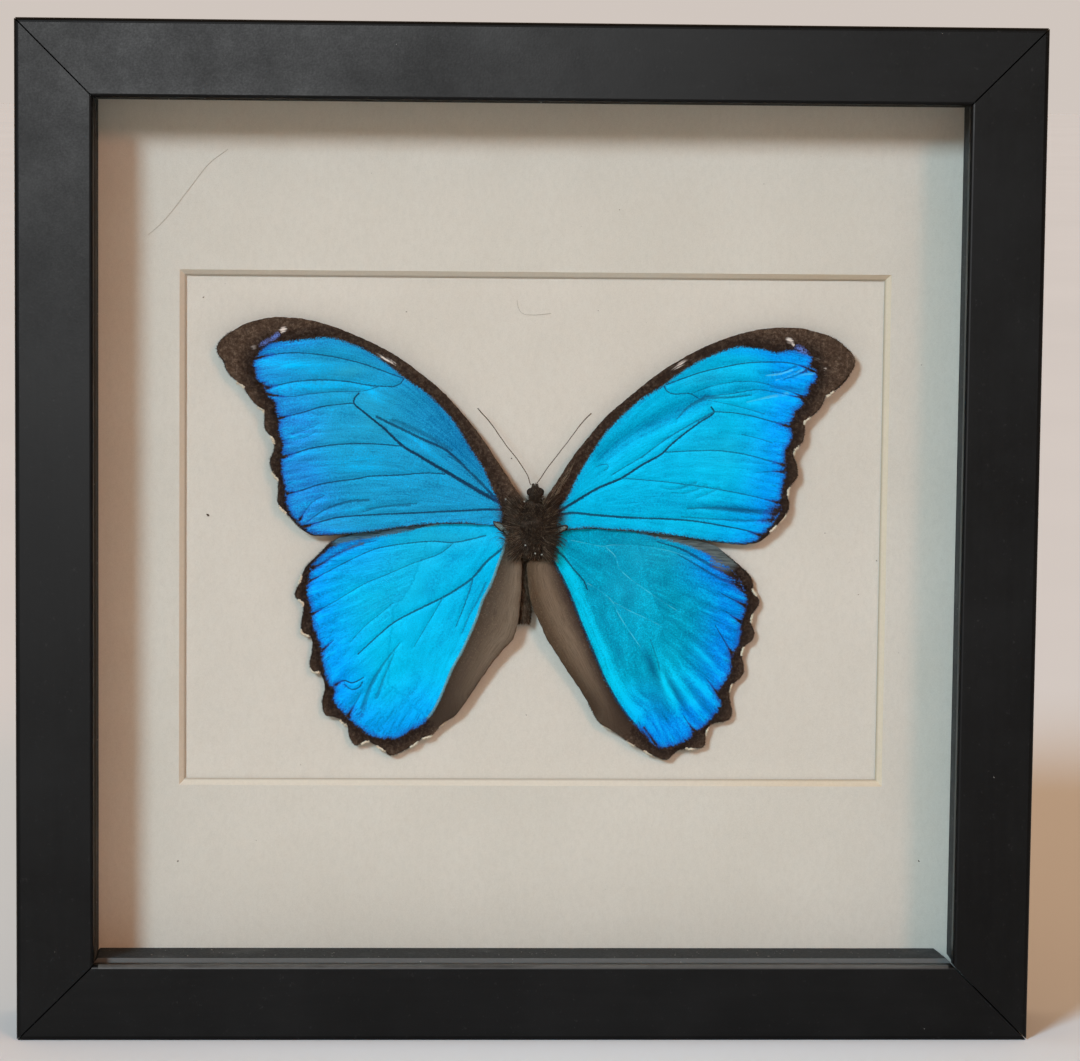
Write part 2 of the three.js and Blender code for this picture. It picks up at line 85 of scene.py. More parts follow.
LEFT_FOREWING = read_points("""
    -1.6,4.4 -4.6,9.7 -7.4,13.9 -11.7,20.2 -16,25.5 -20.3,30.1 -24.6,33.7 -28.8,36.8 -33.1,39.4
    -41.6,43.2 -48.7,45.5 -55.7,46.3 -59.9,45.9 -64.1,44.7 -66.9,43.1 -69.1,41.4 -70.2,39.6 -69.8,37.7
    -68.8,36.4 -68.2,34.7 -67.1,33.1 -65.6,31.9 -64.3,30.8 -63.2,28.8 -61.2,26.6 -59.8,25.5 -59.5,21.5
    -57.5,18.7 -57.5,17 -58.4,14 -57.4,11 -56.6,10.2 -56.6,7.9 -56.4,4.5 -54.1,2 -51.5,-0.8 -50.1,-1.8
    -48.6,-2.3 -45.3,-2.3 -37.7,-1.7 -32.1,-0.9 -26.4,-0.1 -20.8,0.4 -15.1,0.5 -10.4,0.3 -3.9,0.3
""")
RIGHT_FOREWING = read_points("""
    2.4,4.6 5.9,10.9 8.7,15.4 12.3,20 16.2,24.6 20.7,28.6 25.5,32.6 29.7,35.7 33.9,38.2 38.1,40.4
    42.8,42.3 47,43.6 51.3,44.5 55.5,44.8 59.8,44.6 64,43.6 66.9,42.5 69.5,40.6 71.2,38.7 71.7,37.2
    71.4,35.8 70.7,34.7 69.9,33.3 68.2,31.5 66.6,30.2 65.3,29.3 64.3,27.2 62.4,25.1 60.7,23.8 60.7,21.5
    60.4,19.5 58.6,17.3 58.4,15.8 59.2,13.8 59.1,11.3 57.4,8.8 57.2,7.1 57.5,4.3 56,1.9 55.1,0.8
    53.5,-0.9 52.7,-2 51.1,-3.1 49.2,-3.7 47.2,-3.9 41.2,-3.4 35.2,-2.5 30.2,-1.8 24.5,-1.2 18.8,-0.8
    13.2,-0.4 4.1,-0.3
""")
LEFT_HINDWING = read_points("""
    -3.6,0.2 -9,2.4 -18,3.2 -28,2 -36,-0.6 -41.1,-2.4 -43.3,-3.1 -45.3,-4.3 -47.2,-6.3 -49.2,-8.3
    -50.6,-10 -51.2,-11.7 -52,-13.7 -52.7,-15.5 -52.4,-16.6 -51.1,-17.4 -50.8,-18.9 -51.4,-22.9
    -51.1,-24.3 -49.1,-25.3 -48.7,-27.2 -49.3,-31.8 -48.2,-33.2 -47.2,-33.2 -45.9,-36.3 -46.5,-40.3
    -45.8,-42.8 -43.2,-43.4 -41.7,-44.7 -40.8,-45.4 -40.4,-47.8 -39,-49.7 -36.9,-49 -36,-48.8 -34,-50
    -33.1,-50.5 -31.3,-51.9 -29.8,-51.6 -26,-49.6 -24.1,-48.1 -22.4,-47.7 -19.6,-44.7 -16.7,-42.7
    -15.1,-40.7 -13.4,-38.1 -10.9,-34.3 -8.4,-30.6 -5.8,-27.4 -4.1,-25.4 -3.3,-23.1 -2.9,-21.4 -2.4,-16
    -2.2,-10 -2.4,-6.2
""")
RIGHT_HINDWING = read_points("""
    3.6,-0.6 9,1.8 18,2.4 27,1 34,-1.6 39.5,-3.7 41.3,-4.3 43.3,-5.9 47.3,-9.3 48.9,-10.9 49.7,-12.3
    49.8,-14.3 50.8,-15.7 51.2,-17.3 49.7,-20 49.5,-21.8 50.2,-23.8 49.9,-25.5 48.6,-26.5 47.5,-28.1
    48,-32.7 47.3,-34.1 45.1,-36.1 44.8,-38.2 45.5,-42.2 44.9,-43.6 41.8,-44.4 40.4,-45.1 39.7,-46.5
    39.3,-49.7 38.2,-50.2 34.7,-50.3 33,-51 31.1,-52.7 29.6,-52.5 25.6,-50.6 23,-49.2 19.3,-46.6 15.3,-44
    13.8,-41.2 11.2,-36.9 8.3,-32.6 5.4,-28.1 3.4,-24.9 1.9,-21.5 -0.1,-16.9 -0.9,-12.1 -0.8,-7.6
    1.6,-6.2
""")

# Edge of the blue on each wing: first the stretch along the dark border, or along the brown inner fold and
# then the dark border, and then the rest of the loop back to the start.

LEFT_FOREWING_BLUE = read_points("""
    -8.8,8 -11.1,13.1 -14,17.6 -17.4,23 -21.4,27.5 -25.1,30.6 -28.5,32.8 -33.1,36.4 -36.5,38.6 -41.6,40.8
    -45.8,41.8 -50.1,41.4 -54.3,40.9 -57.9,40.4 -60.1,39 -61.2,37.6 -62.1,36.2 -61.5,34.2 -61.2,32.5
    -59.8,31.4 -59.2,29.4 -57.5,27.7 -57,25.5 -56.4,23.5 -56.4,20.7 -55.5,19 -55.5,16.4 -55.8,14.4
    -55.6,11.3 -54.9,8.2 -54.6,4.6 -52.9,1.7 -50.6,-0.7 -48.7,-1.8 -45.3,-2 -37.7,-1.4 -32.1,-0.6
    -26.4,0.2 -20.8,0.7 -15.1,0.8 -7.6,0.6 -6.8,2.6 -7.6,5.6
""")
RIGHT_FOREWING_BLUE = read_points("""
    7.7,6.3 10.2,11.5 12.9,16 15.7,20.3 19.6,24.6 24.1,28.6 28.3,31.2 32.5,34.3 38.1,37.7 45.7,40.4
    48.5,40.2 51.4,39.8 54.2,39.1 57,39.7 59.9,39.2 62.1,38 61.6,36.3 63.1,34.9 62.8,32.9 61.4,31.5
    61.4,30.1 60,29.2 60.1,27.5 58.4,26.1 58.1,24.7 57,22.9 57.9,21.3 57.4,19.2 56.5,17.8 56.3,15.5
    56.6,12.4 55.9,9.6 55.5,6.6 55,5.5 55.6,4.2 54.2,1.8 53.5,0.5 51.2,-1.8 50.1,-3 47.2,-3.6 41.2,-3.1
    35.2,-2.2 30.2,-1.5 24.5,-0.9 18.8,-0.5 13.2,-0.1 5.4,0 5,2.4 6,4.4
""")
LEFT_HINDWING_BLUE = read_points("""
    -6.3,-5 -7.2,-7.7 -9.1,-13.1 -10.8,-16.5 -12.1,-20.6 -13.8,-24.8 -15.7,-28.9 -17.4,-32 -19.1,-36.1
    -20.5,-39.5 -21.9,-42.1 -24.1,-44.7 -26.9,-46.4 -29.7,-47.9 -32.6,-48 -35.4,-47.5 -37.5,-46.1
    -38.9,-45 -41.2,-42.9 -43.6,-40.2 -44.1,-38.6 -43.8,-37.1 -45,-35.7 -46.5,-30.3 -46.8,-27.7
    -48.5,-22.9 -49.1,-18.9 -50,-14.9 -49.3,-11.4 -48.9,-9.2 -46.4,-6.5 -43.3,-4.4 -40.2,-3.6 -36,-2.9
    -32,-2.2 -27,-1.1 -20,0.6 -9,1.6 -5.6,-1.2
""")
RIGHT_HINDWING_BLUE = read_points("""
    4,-5.7 5.5,-8.8 7.5,-12.6 9,-16 10.7,-20.3 12.5,-24.6 14.6,-29.4 16.3,-33.5 18.3,-37.2 20.4,-40.7
    22.4,-43.3 25,-46.1 26.8,-48.1 28.2,-49.4 30.7,-49.9 33.6,-49.1 36.4,-47.4 36.7,-46.5 38.7,-45.4
    40.9,-43.3 42.3,-41.6 42.9,-39.6 42,-37.9 43.9,-34.7 45,-32.4 45,-29.8 46.4,-27.2 47.2,-24.1
    47.1,-21.8 47.7,-20 48.5,-16.9 47.3,-13.4 46.1,-11.3 42.9,-8.2 40,-6.3 35,-4.3 30,-2.9 25,-1.6 18,0.6
    9,1 4.4,-1.6
""")

# Veins and creases of each wing: name, half-width at the start and at the end, darkness (below zero for one
# that shines), points. The veins' darkness is their own colour; on creases, folds, wrinkles and shaded
# stretches the darkness is painted shade, and the shine is a painted highlight.

LEFT_FOREWING_VEINS = read_veins("""
    cubital: 0.55 0.17 1: -5.9,4.8 -11.6,7.7 -17.3,11 -21.3,13.3 -25.2,15.6 -28.9,17.8 -32.9,21.5
    -37.1,24.9 -39.8,27.3 -39.7,28.4 -38.7,29.5;
    cell fold: 0.3 0.3 0.85: -8.1,6.3 -12.5,10.7 -16.4,14.5 -19.7,17.2 -24.6,19.4 -29.6,21.8 -34.8,24.3;
    shade over the cell fold: 0.3 0.8 0.4: -18,16.9 -22,19.4 -26,21.4 -31,23.3;
    second cell fold: 0.14 0.1 0.6: -9.9,8.2 -12.5,10.5 -15.9,13.6;
    first median: 0.14 0.16 0.8: -28.8,32.8 -29.6,31.7 -31,31.1 -33.5,31.1 -35.9,31.2 -41.5,32.1
    -47.2,32.4 -52.8,32 -56.2,31.3 -59,30.6;
    second median: 0.1 0.13 0.6: -34.5,31 -36.5,30.3 -39.3,29.9 -44.3,29.8 -50,29.2 -54.2,28.6 -57.8,29;
    radial: 0.15 0.14 0.8: -29.2,33 -33.1,34.4 -37.4,35.9 -41.6,37 -47.2,38 -52.8,38.4 -57,38.1
    -60.7,37.3;
    third median: 0.14 0.17 0.85: -39.8,27.3 -42.9,27 -47.1,26.4 -51.3,25.1 -55.6,24.1 -56.3,23.9;
    first cubital branch: 0.14 0.18 0.85: -28.9,17.7 -33,18.1 -37.2,18.3 -41.4,18.2 -45.7,17.8 -49.9,17
    -52.7,16.1 -55.1,15.3;
    second cubital branch: 0.14 0.18 0.85: -19.5,11.6 -23.5,11.8 -30,11.3 -37,10.9 -38.6,10.5 -44.2,9.7
    -48.4,8.8 -51.2,7.8 -54,7.1;
    anal: 0.26 0.15 0.9: -5.9,3.7 -10.1,3.8 -14.4,3.5 -21.4,3.1 -31.3,2.6 -37,2.3 -43.4,1.7 -47.6,0.6
    -50.7,-0.3;
    crease: 0.14 0.2 0.5: -25.7,5 -31.3,4.4 -37,3.7;
    lower feather: 0.14 0.3 0.6: -49.8,0.9 -47.4,2.7 -45.2,3.9 -40.9,5.3 -36.5,5.7;
    second lower feather: 0.14 0.34 0.55: -37.6,3.1 -33.2,4.2 -27.2,4.7;
    third lower feather: 0.12 0.16 0.5: -51.8,1.1 -49.1,5 -46.3,6.7;
    root feather: 0.08 0.1 0.5: -10.8,9.5 -13.1,11.6 -16.1,13.9 -19.1,15.7;
    second root feather: 0.08 0.1 0.45: -10.5,8.9 -12.5,10 -14.4,11.6;
    cubital edge: 0.2 0.1 0.8: -8.5,6.3 -11.8,8.1 -14.4,9.4 -17.1,10.8;
    upper feather: 0.08 0.1 0.45: -53.6,20.3 -51,21.1 -48.1,22.3;
    second upper feather: 0.08 0.1 0.4: -53.3,19 -50.4,19.7 -48.4,20.8
""")

RIGHT_FOREWING_VEINS = read_veins("""
    cubital: 0.34 0.16 1: 5.5,3.2 10.3,6.1 14.5,8.6 19.8,10.9 24.3,13.8 28.8,16.4 30.5,18.1 33.5,20.7
    37.2,23.5 40.4,25.8 39.7,27;
    cell fold: 0.12 0.2 0.6: 24.3,15.5 29.9,19.8 35.5,23.2 40.1,25.7;
    discocellular: 0.16 0.1 0.8: 29.1,31.5 30,30.3 31.4,29.8 34.8,29.9 36.8,28.9;
    radial: 0.15 0.13 0.85: 29.7,31.9 33.9,33.5 38.1,34.9 42.9,36 47.1,36.8 52.8,37.1 57.1,36.9 59.9,36.2
    62.2,35.2;
    first median: 0.08 0.14 0.6: 35.1,29.9 40.2,31.7 45.8,32.7 50.1,32.6 54.3,31.5 58.6,30.1;
    lower median: 0.1 0.13 0.65: 38.7,29.3 44.4,30 50.1,30.9 54.3,30.3 58.6,29.4 60.6,29.2;
    second median: 0.08 0.12 0.5: 39.1,28.4 43.1,27.7 47.3,26.7 51.6,25.5;
    third median: 0.13 0.16 0.8: 40.4,25.9 44.5,25.7 48.8,25 53,23.9 55.9,23.1 57.3,22.7;
    first cubital branch: 0.13 0.15 0.7: 29.4,16.8 35.6,17.1 41.3,17.2 46.9,16.5 51.5,15.4 54.6,14.5
    56,14.1;
    second cubital branch: 0.13 0.15 0.65: 19.8,10.9 24.3,10.6 30,10.1 35.7,9.4 43.5,8.2 51.6,6.5
    55.1,5.5;
    anal: 0.3 0.12 0.9: 5.5,2.6 8.9,3.1 14.5,2.6 21.6,2.1 30.2,1.8 35.8,1.4 42.3,0.4 49.1,-1 51.5,-2;
    shaded fold: 0.2 0.7 0.5: 34.8,4.2 41.3,4.3 48.1,3.7 55.8,3.5;
    second shaded fold: 0.14 0.3 0.5: 33.4,2.3 41.4,1.8 48.1,1.5 54.3,1.8;
    apex wrinkle: 0.1 0.34 -0.5: 51.8,34.1 54.6,34.4 57.7,35.5;
    second apex wrinkle: 0.1 0.3 -0.5: 54.1,33.1 56.6,33.8 60,35.4;
    third apex wrinkle: 0.1 0.3 -0.5: 57.7,33.3 60.5,34.4 63.2,34.6;
    lower apex wrinkle: 0.1 0.4 -0.4: 47.7,28.1 52.2,29.2 56.7,30;
    dark apex wrinkle: 0.1 0.3 0.5: 53.2,34.8 56,35 58.5,36.1;
    second dark apex wrinkle: 0.1 0.3 0.5: 55.5,33.1 58.3,34.1 60.5,35;
    shaded apex: 0.4 0.9 0.35: 53.3,31.6 57.8,31 62.3,30.2;
    middle wrinkle: 0.1 0.3 0.35: 28.8,8.8 32.2,8.5 36.7,10;
    second middle wrinkle: 0.1 0.3 0.3: 31.1,7.7 34.5,7.7 39,9.4;
    third middle wrinkle: 0.1 0.3 0.3: 36.8,6.6 39.6,7.7 41.8,8.9;
    junction: 0.14 0.5 0.6: 32.1,24.2 34.6,26.8 38.7,29.1;
    junction tail: 0.4 0.14 0.6: 38.2,29 43.7,29.1 48.8,29.7;
    rim feather: 0.09 0.14 0.5: 46.6,20.9 50.7,19.9 53.6,19;
    second rim feather: 0.09 0.16 0.55: 51.5,15.2 54.1,14.6 56,14;
    third rim feather: 0.09 0.16 0.5: 50.1,12.4 52.7,12.6 56.1,12.6;
    fourth rim feather: 0.09 0.16 0.5: 49.5,3.5 52.4,3.1 54.8,3;
    fifth rim feather: 0.09 0.16 0.5: 48.8,-1.1 50.8,-1.6 52.5,-1.8;
    cell line: 0.14 0.08 0.6: 17.7,11.6 20.5,13.4 23.9,15.4 27.2,17.9 30,19.8;
    loop: 0.09 0.09 0.6: 14.1,13.5 15.5,13.9 16.8,13.9 16.6,12.9 16,12.7
""")

LEFT_HINDWING_VEINS = read_veins("""
    radial: 0.17 0.1 0.75: -10.3,-2.2 -17.3,-3.8 -22.1,-3.6 -26.3,-3.9 -30.6,-4.5 -34.8,-5.4 -38.8,-7.1
    -43.3,-9.4 -48.1,-12;
    upper fold: 0.1 0.25 0.55: -34.7,-3.5 -38.8,-4.6 -43.3,-6.6 -47.5,-9.2 -48.9,-9.7;
    first median: 0.13 0.1 0.6: -17.3,-3.8 -20.4,-6.3 -26.3,-8.5 -32,-11 -37,-13.1 -42.3,-16.3 -48,-19.7;
    third median: 0.08 0.13 0.45: -30.8,-17.4 -33,-19.4 -36.9,-22.6 -40.3,-26.3;
    third median end: 0.1 0.14 0.6: -44,-25.9 -46.2,-28;
    cubital: 0.3 0.14 0.85: -5.8,-4.3 -10.2,-8.2 -13,-11.6 -16.4,-14.2 -19.7,-16.2 -23.1,-17.9
    -27.6,-20.2 -30.7,-22 -34.7,-25.4 -38.6,-29.1;
    cubital branch: 0.13 0.1 0.5: -19.7,-16.2 -21.4,-19.3 -23.1,-22.2 -26.1,-27.4;
    inner branch: 0.18 0.12 0.6: -13,-11.6 -13.8,-14.7 -15.2,-18.8 -16.8,-22.8;
    lower crease: 0.12 0.55 0.5: -29.2,-26.5 -32.9,-31.3 -35.7,-36.3 -37.5,-41.4;
    short crease: 0.1 0.4 0.4: -30.4,-28.7 -32.3,-33.2 -34.4,-38.9;
    margin crease: 0.1 0.3 0.45: -37.9,-37.9 -39.4,-40.8 -40.7,-43;
    second inner branch: 0.3 0.14 0.45: -10.2,-12.8 -11.7,-16.3 -13.6,-19.8 -15.4,-24.2;
    tear: 0.2 0.12 0.9: -43.5,-36 -41.7,-35.1 -39.9,-35.6 -38.5,-35.1 -37.3,-34.3;
    lower edge of the tear: 0.14 0.16 0.8: -41.6,-36 -39.9,-37.1 -38.2,-36.5 -37.6,-35.4
""")

RIGHT_HINDWING_VEINS = read_veins("""
    radial: 0.09 0.08 -0.3: 8.8,-3.1 16.2,-4.5 17.9,-4.2 24.7,-4.5 31.6,-5.7 37.3,-7.9 42.1,-10.2;
    upper fold: 0.16 0.5 0.65: 30,-2.2 36,-3.9 41.3,-6.8 45.9,-9.5;
    first median: 0.09 0.08 -0.45: 16.8,-4.8 18.8,-6.8 19.7,-9.4 21.7,-11.4 26,-14.5 30.3,-17.4
    32.6,-18.8;
    second upper fold: 0.14 0.6 0.75: 28.1,-3.4 34,-5.3 39.3,-8.2 43.3,-10.1 46.6,-11.5;
    third upper fold: 0.12 0.45 0.65: 32.7,-6.2 38,-9.2 42,-11.5 45.3,-12.8;
    cubital root: 0.28 0.16 0.85: 4.3,-4.6 7.2,-6.8 9.5,-9.7 11.8,-12.3 12.6,-14.3;
    cubital: 0.09 0.08 -0.45: 12.6,-12.8 15.8,-14.8 18.1,-16.8 19.8,-20 21.8,-23.1 24.8,-27.4;
    median: 0.08 0.1 -0.3: 18.6,-17.1 22.1,-19 26.1,-20.8 28.9,-22.2;
    lower crease: 0.16 0.2 0.45: 26.9,-25.5 27.6,-27.4 28.5,-30 29.1,-32.3;
    first margin end: 0.08 0.2 0.9: 44.2,-12.1 47.3,-13.5;
    second margin end: 0.08 0.22 0.9: 42.6,-15 46.8,-17.1;
    third margin end: 0.08 0.2 0.85: 43.8,-19.2 46.8,-21.2;
    fourth margin end: 0.08 0.24 0.85: 41.4,-22.2 45,-28.1;
    fifth margin end: 0.08 0.2 0.85: 39.7,-34.4 42.5,-38.1;
    sixth margin end: 0.08 0.2 0.8: 34.6,-42.8 37,-46.3;
    seventh margin end: 0.08 0.18 0.75: 25.8,-45.4 28.4,-49.2
""")

# Soft patches of each wing's colour by channel: middle, half-lengths, turn in degrees, amount. The first
# channel (brighter above zero, deeper below) is painted sheen and shade, where the wing's tilt and
# undulations catch or miss the light; the others are violet and pale.

LEFT_FOREWING_PATCHES = {
    "painted_sheen_and_shade": read_spots("""
        -35.9 29.6 3.2 1 -40 0.9,  -24.7 18.2 5.2 0.6 -37 0.9,  -20.5 22.7 12 5 -50 -0.5,
        -13.8 16 8 3 -55 -0.5,  -36 13.8 11 3 0 0.35,  -53 35.6 7 1.6 -3 0.95,  -48.5 30.9 9.5 1.1 2 1,
        -44 36.6 6 1.6 5 -0.15
    """),
    "pale": read_spots("""
        -40.1 34.6 4 1.2 10 0.9,  -35.6 21.6 4 3 0 0.35,  -45 20 8 4 0 0.3,  -38 27.8 7 1.6 0 0.4,
        -34 24.6 5 3.4 -40 0.45,  -46 0.4 7 1.2 2 0.5
    """),
    "violet": read_spots("""
        -53 21.6 6 4 10 0.75,  -52.2 10.9 7 4 10 0.85,  -50.5 4.9 7 3 20 0.75,  -52 40.6 9 1.3 0 0.55,
        -30 34.5 10 2 -30 0.2,  -18 19 10 5 -50 0.2
    """),
}
RIGHT_FOREWING_PATCHES = {
    "painted_sheen_and_shade": read_spots("""
        27.4 20 7 1.2 32 0.4,  45.2 31.6 8 2 -3 -0.35,  47 4.2 10 1.3 -2 -0.8,  37.4 12.7 14 5 0 0.3,
        50.8 0 8 1.3 0 0.4,  18 12 12 4 55 0.2,  52 28.6 6 1.5 -8 0.5,  30 5.6 9 2 0 -0.25
    """),
    "violet": read_spots("""
        57.5 33.9 6 4.5 0 0.9,  57.5 39 9 1.8 -5 0.8,  46 39.5 5 1.2 0 0.4,  56 20 4 10 0 0.45,
        54 6 5 8 0 0.4
    """),
    "pale": read_spots("38 33.5 5 1.6 15 0.4, 42 17 8 4 0 0.3"),
}
LEFT_HINDWING_PATCHES = {
    "pale": read_spots(
        "-29.4 -7.3 11 4 10 0.45, -22 -2 9 2.2 0 0.5, -14 -3 7 2 10 0.3, -30 -16 10 3 25 0.3"
    ),
    "painted_sheen_and_shade": read_spots("""
        -31.6 -29.6 9 8 0 0.35,  -30.5 -45.6 7 2.4 -12 -0.55,  -12.4 -15 2.2 8 -12 -0.25,
        -19.4 -33 2.4 7 -26 0.25
    """),
    "violet": read_spots("-49.5 -9 3 5 0 0.6, -48 -20 4 8 0 0.35, -43.5 -36 4 8 0 0.45"),
}
RIGHT_HINDWING_PATCHES = {
    "pale": read_spots("28 -6 9 3 -10 0.4, 22 -14 8 8 0 0.25"),
    "painted_sheen_and_shade": read_spots("""
        36 -21 12 6 -40 -0.1,  30.9 -36.4 0.9 7.5 24 1.3,  34.6 -36.4 0.8 7.5 36 1.3,
        37.8 -35.2 0.9 7.5 44 1,  39 -29.3 0.8 5 46 0.8,  27.6 -31.8 1.1 4.2 24 -1.2,
        32.8 -37.6 0.6 6.5 31 -0.9,  24 -38 3.2 7 30 0.35,  29 -40 1.4 5 28 -0.3
    """),
    "violet": read_spots("44 -26 4 13 0 0.5, 37 -44 6 4 0 0.55, 28 -47 6 3 0 0.7, 42 -10 6 3 -40 0.5"),
}

# White marks in the dark border: middle, half-lengths, turn, strength.
LEFT_FOREWING_MARKS = read_spots("""
    -33 37.3 1.7 0.36 -32 1.3,  -31.4 36.5 1.3 0.26 -36 1.2,  -34.6 38 1 0.5 -30 0.5,
    -55.6 43.5 0.95 0.55 38 1.4,  -57.3 42 1.7 0.6 40 -1,  -59.6 40.7 1.8 0.6 32 -0.8,
    -62.1 39.6 0.8 0.6 15 0.6
""")
RIGHT_FOREWING_MARKS = read_spots("""
    32.7 36.4 1.9 0.42 35 1.3,  57 42 0.8 0.62 -30 1.4,  57.8 41.2 0.9 0.4 -52 1,
    59.6 39.9 2.1 0.8 -30 -0.9,  63.3 37.9 1.1 0.45 0 0.5,  65 35.6 0.32 0.32 0 1.3
""")

# Cream fringe in the notches of each margin.
LEFT_FOREWING_CREAM = read_points("-64.7,31.6 -60.1,26.1 -57.7,19.1 -57.2,10.9 -55.5,3.4")
RIGHT_FOREWING_CREAM = read_points("66.4,29.9 61,24.2 58.7,17.4 57.4,7.9 56,2.2 53.7,0.2")
LEFT_HINDWING_CREAM = read_points("""
    -52,-12.2 -51,-17.4 -50.5,-24.6 -48.2,-32.9 -41.9,-44.6 -37,-49.2 -33.3,-50.3 -25.9,-49.6 -23,-47.9
    -19.3,-44.9
""")
RIGHT_HINDWING_CREAM = read_points("""
    50.2,-14.9 49.7,-20.6 47.8,-28.3 45,-36.4 39.9,-46.3 36.3,-50.1 26.7,-51.2 22.9,-49.2 17.3,-45.5
""")

# ------------------------------------------------------------------ camera and light


def add_camera():
    """The camera stands a little left of and above the frame, and looks slightly down on it."""
    turn = Matrix.Rotation(-0.010713, 3, "Z") @ Matrix.Rotation(0.112674, 3, "X")
    turn = turn @ Matrix.Rotation(0.048568, 3, "Y")
    upright = Matrix(((1, 0, 0), (0, 0, -1), (0, 1, 0)))
    data = bpy.data.cameras.new("camera")
    data.sensor_width = 36
    data.lens = 146.667
    data.clip_start = 0.05
    data.clip_end = 50
    camera = bpy.data.objects.new("camera", data)
    place = Matrix.Translation((-0.04435, -0.97481, 0.22287))
    camera.matrix_world = place @ (upright @ turn.transposed()).to_4x4()
    bpy.context.scene.collection.objects.link(camera)
    bpy.context.scene.camera = camera


def add_lamp(kind, name, toward, strength, colour, softness, distance=2.0):
    """A lamp that shines on the middle of the board from the direction toward."""
    data = bpy.data.lights.new(name, kind)
    data.energy = strength
    data.color = colour
    if kind == "SUN":
        data.angle = softness
    else:
        data.shape = "DISK"
        data.size = softness
    lamp = bpy.data.objects.new(name, data)
    direction = Vector(toward).normalized()
    lamp.location = Vector((0, 0, 0.1125)) + direction * distance
    lamp.rotation_mode = "QUATERNION"
    lamp.rotation_quaternion = direction.to_track_quat("Z", "Y")
    bpy.context.scene.collection.objects.link(lamp)
    return lamp


def add_light():
    """Light from all round, a key, a fill and a soft gloss. The backdrop that is seen is plain and pale."""
    scene = bpy.context.scene
    scene.view_settings.view_transform = "Standard"
    world = bpy.data.worlds.new("studio")
    scene.world = world
    world.use_nodes = True
    tree = world.node_tree
    background = tree.nodes["Background"]
    background.inputs["Color"].default_value = (1.0, 0.68, 0.43, 1)
    background.inputs["Strength"].default_value = 0.536
    backdrop = tree.nodes.new("ShaderNodeBackground")
    backdrop.inputs["Color"].default_value = (0.633, 0.565, 0.518, 1)
    seen = tree.nodes.new("ShaderNodeMixShader")
    tree.links.new(tree.nodes.new("ShaderNodeLightPath").outputs["Is Camera Ray"], seen.inputs[0])
    tree.links.new(background.outputs[0], seen.inputs[1])
    tree.links.new(backdrop.outputs[0], seen.inputs[2])
    tree.links.new(seen.outputs[0], tree.nodes["World Output"].inputs["Surface"])
    add_lamp("SUN", "key", (-0.62, -1, 0.6), 2.97, (0.575, 0.81, 1.0), 0.22)
    fill = add_lamp("SUN", "fill", (0.5, -1, 0.55), 0.77, (1.0, 0.47, 0.33), 0.2)
    fill.visible_glossy = False
    gloss = add_lamp("AREA", "gloss", (-0.14, -1.37, 0.2), 14.0, (0.95, 0.98, 1.0), 0.2, 1.45)
    gloss.visible_diffuse = False


# ------------------------------------------------------------------ material helper


class Value:
    """A number that a material's nodes work out, which can be added, taken away and multiplied."""

    def __init__(self, look, socket):
        self.look = look
        self.socket = socket

    def __add__(self, other):
        return self.look.math("ADD", self, other)

    def __sub__(self, other):
        return self.look.math("SUBTRACT", self, other)

    def __mul__(self, other):
        return self.look.math("MULTIPLY", self, other)


